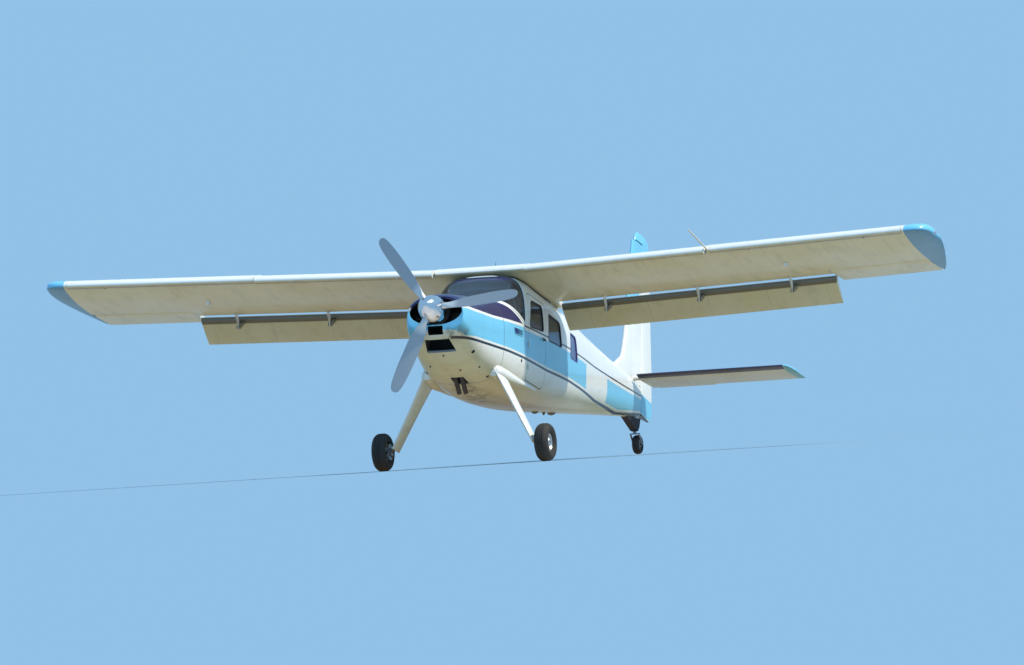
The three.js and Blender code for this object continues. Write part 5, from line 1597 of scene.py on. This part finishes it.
flank = [on_body(y, screen_edge(y), 1)[0] for y in np.linspace(2.232, 1.620, 21)]
crown = []
for x in np.linspace(flank[-1][0], 0, 16)[1:]:
    low, high = 1.40, 1.75
    for _ in range(40):
        y = (low + high) / 2
        low, high = (y, high) if skin_height(x, y) < screen_edge(y) else (low, y)
    crown.append(np.array([x, y, skin_height(x, y)]))
port_half = flank + crown
path = port_half + [p * (-1, 1, 1) for p in port_half[-2::-1]]
dress(ribbon("screen_foot_strip", path, FOOT_STRIP), PLAIN_WHITE, "airframe", "white_paint")
for name, side in SIDES.items():
    post = np.array([(2.243, z) for z in np.linspace(0.262, 0.880, 20)])
    dress(edging("screen_post_" + name, post, side, [(a * 0.8, p) for a, p in FOOT_STRIP], closed=False),
          PLAIN_WHITE, "airframe", "white_paint")

root_section = [(-0.012, -0.004), (-0.012, 0.003), (-0.004, 0.007), (0.006, 0.007), (0.012, 0.003),
                (0.012, -0.004)]
for name, side in SIDES.items():
    run = [wing_level(side * 0.590, c, line_height(LOWER_LINE, c)) for c in np.linspace(0.14, 1.36, 30)]
    run = np.array([(p[1], p[2] - 0.012) for p in run])
    dress(edging("wing_root_seal_" + name, run, side, root_section, closed=False), seal_rubber, "airframe",
          "black_rubberised")
top_strip_y = 2.105
strip = []
for x in np.linspace(-0.170, 0.250, 31):
    rim = skin_height(x, top_strip_y)
    wide = 0.012 * math.sqrt(max(1 - ((x - 0.040) / 0.212) ** 2, 0)) + 0.0008
    turn = full_turn(12)
    strip.append([(x, top_strip_y + wide * math.cos(a), rim + 0.001 + wide * math.sin(a)) for a in turn])
dress(loft("screen_top_strip", strip), PLAIN_WHITE, "airframe", "white_paint")


# Small fittings: door hinges and handles, drains, aerials, position lights, a fresh-air inlet, filler
# caps, access covers and the pitot boom. Most are pressed or turned and screwed to the skin.
def on_wing(x_side, c, upper, proud=0.0):
    """A point of the wing's skin and the way that it faces."""
    line = UPPER_LINE if upper else LOWER_LINE
    place = wing_level(x_side, c, line_height(line, c))
    along = wing_level(x_side, c + 0.01, line_height(line, c + 0.01)) - place
    span = np.array([1.0, 0, math.tan(DIHEDRAL) * np.sign(x_side)])
    facing = np.cross(span, along)
    facing *= (1 if upper else -1) * np.sign(facing[2]) / np.linalg.norm(facing)
    return place + proud * facing, facing


def fitting(name, spots, material, body, slot, sides, foot, top, height, crease=32):
    places, ways = zip(*spots)
    return strewn(name, places, ways, material, body, slot, sides, foot, top, height, crease)


def side_spot(y, z, side=1, proud=-0.001):
    return on_body(y, z, side, proud)


def belly_spot(x, y, proud=-0.001):
    """A point of the body's underside."""
    half, middle, top, bottom, above, below = body_at(y)
    rise = middle - bottom
    z = middle - rise * (1 - (abs(x) / half) ** below) ** (1 / below)
    return on_body(y, z, 1 if x >= 0 else -1, proud) if x else (np.array([0, y, bottom - proud]),
                                                                np.array([0, 0, -1.0]))


dark = plain("dark_fittings", srgb(0.08, 0.08, 0.10), 0.6, grain=200)
brown = plain("stained_fittings", srgb(0.36, 0.31, 0.24), 0.6, grain=120)
# A thin near-black disc on the lower cowl stands for a hole: painted shade.
fitting("cowl_hole_shades", [side_spot(0.803, -0.423)], dark, "airframe", "black_crackle", 28, 0.0285, 0.0265,
        0.0016)
fitting("cowl_fasteners", [side_spot(0.62, 0.075), side_spot(0.66, 0.235)], PLAIN_WHITE, "airframe",
        "white_paint", 20, 0.016, 0.009, 0.007)
drains = [belly_spot(0.0, 0.720), belly_spot(0.35, 1.118), belly_spot(-0.25, 0.95), belly_spot(0.12, 1.05)]
fitting("belly_drains", drains, brown, "airframe", "cast_metal", 16, 0.014, 0.009, 0.016)
fitting("belly_spots", [belly_spot(0.36, 1.425), belly_spot(-0.40, 1.265), side_spot(2.110, -0.242)], dark,
        "airframe", "black_crackle", 20, 0.022, 0.018, 0.006)


def lump(name, y0, y1, half, deep):
    """A streamlined fairing under the belly's middle line."""
    rings = []
    for t in np.linspace(0, 1, 15):
        y = y0 + t * (y1 - y0)
        size = math.sin(math.pi * min(max(t, 0.03), 0.97) ** 0.75)
        z = float(body_at(y)[3])
        turn = full_turn(16)
        rings.append([(half * size * math.cos(a), y, z + 0.004 + deep * size * math.sin(a)) for a in turn])
    return loft(name, rings)


for k, (y0, y1, half, deep) in enumerate(((4.36, 4.60, 0.040, 0.034), (5.02, 5.30, 0.050, 0.040),
                                          (4.78, 4.88, 0.018, 0.045))):
    dress(lump(f"belly_aerial_{k + 1}", y0, y1, half, deep), brown, "airframe", "cast_metal", crease=45)

for name, y, x, height, sweep in (("roof_mast_1", 2.72, 0.0, 0.17, 0.05),
                                  ("roof_mast_2", 3.02, 0.16, 0.13, 0.04),
                                  ("roof_mast_3", 3.02, -0.16, 0.13, 0.04)):
    foot_place, _ = on_wing(x if x else 0.001, y - WING_FRONT, True)
    mast = rod(name, foot_place - np.array([0, 0, 0.01]), foot_place + np.array([0, sweep, height]), 0.006,
               0.002, 12)
    carve(mast, "UNION", rod("pad", foot_place - np.array([0, 0, 0.004]),
                             foot_place + np.array([0, 0, 0.012]), 0.018, 0.010, 20))
    dress(mast, dark, "airframe", "black_crackle")
for side in (1, -1):
    start = np.array([side * 0.028, 8.46, 2.72])
    path = [start + np.array([side * (0.17 * t + 0.02 * math.sin(3 * t)), -0.06 * t + 0.05 * t * t,
                              -0.015 * t]) for t in np.linspace(0, 1, 9)]
    dress(tube(f"fin_whisker_{1 if side > 0 else 2}", path, 0.0035, 8), dark, "airframe", "black_crackle")


hinge_paint = weathered_and_shaded(Finish("hinge_paint", Coat_Weight=0.2), srgb(0.80, 0.80, 0.78)).material
for name, x, y, levels in (("port", 0.600, 2.349, (-0.30, 0.0, 0.62)),
                           ("starboard", -0.598, 3.114, (-0.26, 0.0, 0.62))):
    for k, z in enumerate(levels):
        for part, low, high, body in (("leaf", 0, 0.030, f"{name}_door"), ("post", 0.031, 0.061, "airframe")):
            knuckle = rod(f"door_hinge_{part}_{k + 1}_{name}", (x, y, z + low), (x, y, z + high), 0.0075,
                          count=16)
            dress(knuckle, hinge_paint, body, "white_paint")
handles = {"port": (2.985, 0.235), "starboard": (3.760, 0.215)}
for name, (y, z) in handles.items():
    side = SIDES[name]
    place, facing = on_body(y, z, side)
    spindle = rod("door_handle_" + name, place - 0.004 * facing, place + 0.030 * facing, 0.009, count=20)
    grip = tube("grip", bent([place + 0.026 * facing, place + 0.030 * facing + np.array([0, -0.06, 0.002]),
                              place + 0.022 * facing + np.array([0, -0.115, 0.0])], 0.03), 0.0075)
    carve(spindle, "UNION", grip)
    dress(spindle, dark, f"{name}_door", "black_crackle")
fitting("handle_escutcheons", [on_body(*handles["port"], 1, -0.001)], BARE, "port_door", "bare_metal",
        24, 0.024, 0.021, 0.003)

inlet_corners = [(1.812, 0.132), (2.130, 0.158), (2.130, 0.078), (1.850, 0.052)]
inlet = edging("air_inlet_frame", rounded(inlet_corners, 0.012), 1,
               [(-0.006, -0.002), (-0.006, 0.004), (0.000, 0.006),
                (0.007, 0.0035), (0.009, -0.002)])
dress(inlet, SKY_PAINT, "airframe", "sky_blue_paint")
patch = even(rounded(inlet_corners, 0.012), 0.02)
middle_point = patch.mean(0)
rows = [[on_body(*(middle_point + share * (p - middle_point)), 1, proud)[0] for p in patch]
        for share, proud in ((0.98, -0.002), (0.98, 0.0012), (0.5, 0.0012), (0.02, 0.0012))]
inlet_paint = Finish("air_inlet")
# The inlet patch is painted dark blue at its front, as the shade of its recess, and teal behind.
shade = inlet_paint.y.past(1.98, 0.05)
grain = inlet_paint.noise(60)
inlet_paint.give(Base_Color=inlet_paint.mix(shade, srgb(0.05, 0.12, 0.36), srgb(0.22, 0.42, 0.52)),
                 Roughness=0.5 + 0.2 * grain)
dress(loft("air_inlet", rows), inlet_paint.bump(grain, 0.2, 0.0005).material, "airframe", "sky_blue_paint")

for name, side in SIDES.items():
    caps = [on_wing(side * x, 0.62, True, -0.002) for x in (1.05, 2.30)]
    fitting("filler_caps_" + name, caps, BARE, "airframe", "bare_metal", 36, 0.047, 0.043, 0.007)
    covers = [on_wing(side * x, c, False, -0.0008) for x in (1.45, 2.65, 3.45, 4.65, 5.15)
              for c in (0.42, 1.05)]
    fitting("access_covers_" + name, covers, WING_WHITE, "airframe", "white_paint", 36, 0.062, 0.060, 0.0022)
    lamp = wing_point(np.array([side * (TIP_RIB + HAIR + 0.309)]), np.array([0.395]), np.array([0.048]))[0]
    glass = Finish("position_glass_" + name, Roughness=0.12, Coat_Weight=0.8)
    tone = srgb(0.75, 0.06, 0.05) if side > 0 else srgb(0.05, 0.55, 0.25)
    ripple = glass.noise(80, 2, 0.5)
    glass.give(Base_Color=glass.mix(ripple * 0.4, tone, srgb(0.9, 0.85, 0.8)))
    rings = []
    for t in np.linspace(0, 1, 9):
        size = math.sin(math.pi * min(max(t, 0.04), 0.96)) ** 0.6
        turn = full_turn(18)
        rings.append([lamp + np.array([side * 0.013 * size * math.cos(a), (t - 0.5) * 0.085,
                                       0.017 * size * math.sin(a)])
                      for a in turn])
    dress(loft("position_light_" + name, rings), glass.bump(ripple, 0.1, 0.0004).material, "airframe",
          "clear_glazing", crease=60)

rib = (SLAT_ENDS["inboard"][1] + SLAT_ENDS["outboard"][0]) / 2
boom_path = [wing_level(rib, c, t)
             for c, t in ((-0.001, 0.0), (-0.30, 0.0128), (-0.60, 0.0256), (-0.820, 0.035))]
boom = rod("pitot_boom_tube", boom_path[0], boom_path[2], 0.011, 0.0095)
carve(boom, "UNION",
      rod("tip", boom_path[2] + 0.004 * (boom_path[0] - boom_path[2]), boom_path[3], 0.0095, 0.0075))
dress(boom, PLAIN_WHITE, "airframe", "white_paint", "pitot_boom")


# Rivets: dome heads along the frames and stringers of the rear body, and along the ribs and spars of
# the wing, above and below. Each is turned to the way that its skin faces.
def rivets(name, spots, body, radius=0.0031):
    fitting(name, spots, PLAIN_WHITE, body, "white_paint", 6, radius, radius * 0.55, 0.0011, 60)


ring_spots = []
for station in (4.74, *FRAMES, 8.70):
    ring = body_ring(station, count=720)
    run = lengths_along(ring)
    for at in np.arange(0.02, run[-1], 0.045):
        p = ring[np.searchsorted(run, at)]
        if p[1] > 7.5 and abs(p[0]) < 0.07 and p[2] > 1.0:
            continue
        ring_spots.append((p, skin_facing(p)))
for turn in (35, 145, 215, 242, 298, 325):
    for station in np.arange(4.76, 8.68, 0.05):
        ring = body_ring(station, count=360)
        p = ring[turn]
        ring_spots.append((p, skin_facing(p)))
rivets("rear_body_rivets", ring_spots, "airframe")

for name, side in SIDES.items():
    spots = []
    for x in WING_RIBS:
        limit = 1.48 if x < FLAP_ENDS[1] else 1.12
        for c in np.arange(0.28, limit, 0.048):
            spots.append(on_wing(side * x, c, True))
        for c in np.arange(0.10, min(limit, 1.36), 0.048):
            spots.append(on_wing(side * x, c, False))
    for x in np.arange(0.62, 5.62, 0.060):
        for c in (0.275, 0.50, 1.10):
            spots.append(on_wing(side * x, c, True))
        for c in (0.50, 1.10):
            spots.append(on_wing(side * x, c, False))
    rivets("wing_rivets_" + name, spots, "airframe")


# Stand: the aircraft is parked on a plain pale floor under a sun and an even sky, and the floor and
# the sky are of one tone. A warm card that lies on the floor, unseen, stands for sunlit ground.
# The camera stands at floor level, off the port bow, and is rolled as the photograph's was.
SKY_LIGHT, FLOOR_TONE = (0.29, 0.535, 0.80, 1), (0.222, 0.363, 0.495, 1)
SUN_WAY, SUN_STRENGTH, SUN_TONE = (-0.60, -0.06, -0.80), 4.0, (1.0, 0.92, 0.80)
CARD_SIZE, CARD_WATTS, CARD_TONE = 26.0, 560.0, (1.0, 0.62, 0.16)
FLOOR_REACH = 4000.0


def placed(name, data):
    """A new object on the stage."""
    made = bpy.data.objects.new(name, data)
    bpy.context.scene.collection.objects.link(made)
    return made


floor_mesh = bpy.data.meshes.new("floor")
floor_mesh.from_pydata([(x * FLOOR_REACH, y * FLOOR_REACH, 0) for x, y in SQUARE], [], [(0, 1, 2, 3)])
floor = placed("floor", floor_mesh)
floor_finish = bpy.data.materials.new("pale_floor")
floor_finish.use_nodes = True
floor_sockets = floor_finish.node_tree.nodes["Principled BSDF"].inputs
floor_sockets["Base Color"].default_value = FLOOR_TONE
floor_sockets["Roughness"].default_value = 1.0
floor_sockets["Specular IOR Level"].default_value = 0.0
floor_mesh.materials.append(floor_finish)
floor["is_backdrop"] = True

world = bpy.data.worlds.new("sky")
world.use_nodes = True
sky = world.node_tree.nodes["Background"].inputs
sky["Color"].default_value = SKY_LIGHT
sky["Strength"].default_value = 1.0
stage = bpy.context.scene
stage.world = world
stage.view_settings.view_transform = "Standard"
stage.view_settings.look = "None"

sun = bpy.data.lights.new("sun", "SUN")
sun.energy = SUN_STRENGTH
sun.angle = math.radians(4)
sun.color = SUN_TONE
sun_object = placed("sun", sun)
sun_object.rotation_mode = "QUATERNION"
sun_object.rotation_quaternion = Vector(SUN_WAY).to_track_quat("-Z", "Y")

card = bpy.data.lights.new("ground_card", "AREA")
card.shape = "DISK"
card.size = CARD_SIZE
card.energy = CARD_WATTS
card.spread = math.radians(140)
card.color = CARD_TONE
card_object = placed("ground_card", card)
card_object.location = (0.0, 0.0, 0.004)
card_object.rotation_euler = (math.pi, 0.0, 0.0)
card_object.visible_camera = False

# The camera looks at the aircraft's middle, and its aim is then shifted by pixels of the photograph.
PICTURE_WIDTH, AIM_ACROSS, AIM_UP = 1024, -30.33, 12.04
AZIMUTH, ROLL, DISTANCE, EYE_HEIGHT = math.radians(17.794), math.radians(-3.669), 250.0, 0.25
camera = bpy.data.cameras.new("camera")
camera.sensor_width = 36.0
camera.lens = 680.336
camera.clip_start, camera.clip_end = 10.0, 12000.0
view = placed("camera", camera)
stage.camera = view
eye = Vector((math.sin(AZIMUTH) * DISTANCE, -math.cos(AZIMUTH) * DISTANCE, EYE_HEIGHT))
ahead = (Vector((0.0, 0.0, 1.5)) - eye).normalized()
right = ahead.cross(Vector((0, 0, 1))).normalized()
over = right.cross(ahead)
across = math.cos(ROLL) * right + math.sin(ROLL) * over
upward = math.cos(ROLL) * over - math.sin(ROLL) * right
pixel = DISTANCE / (camera.lens / camera.sensor_width * PICTURE_WIDTH)
aim = (AIM_ACROSS * across + AIM_UP * upward) * pixel
turn = Matrix((across, upward, -ahead)).transposed().to_4x4()
view.matrix_world = Matrix.Translation(eye + aim) @ turn

rows = {"cad": cad_box, "visual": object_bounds()}
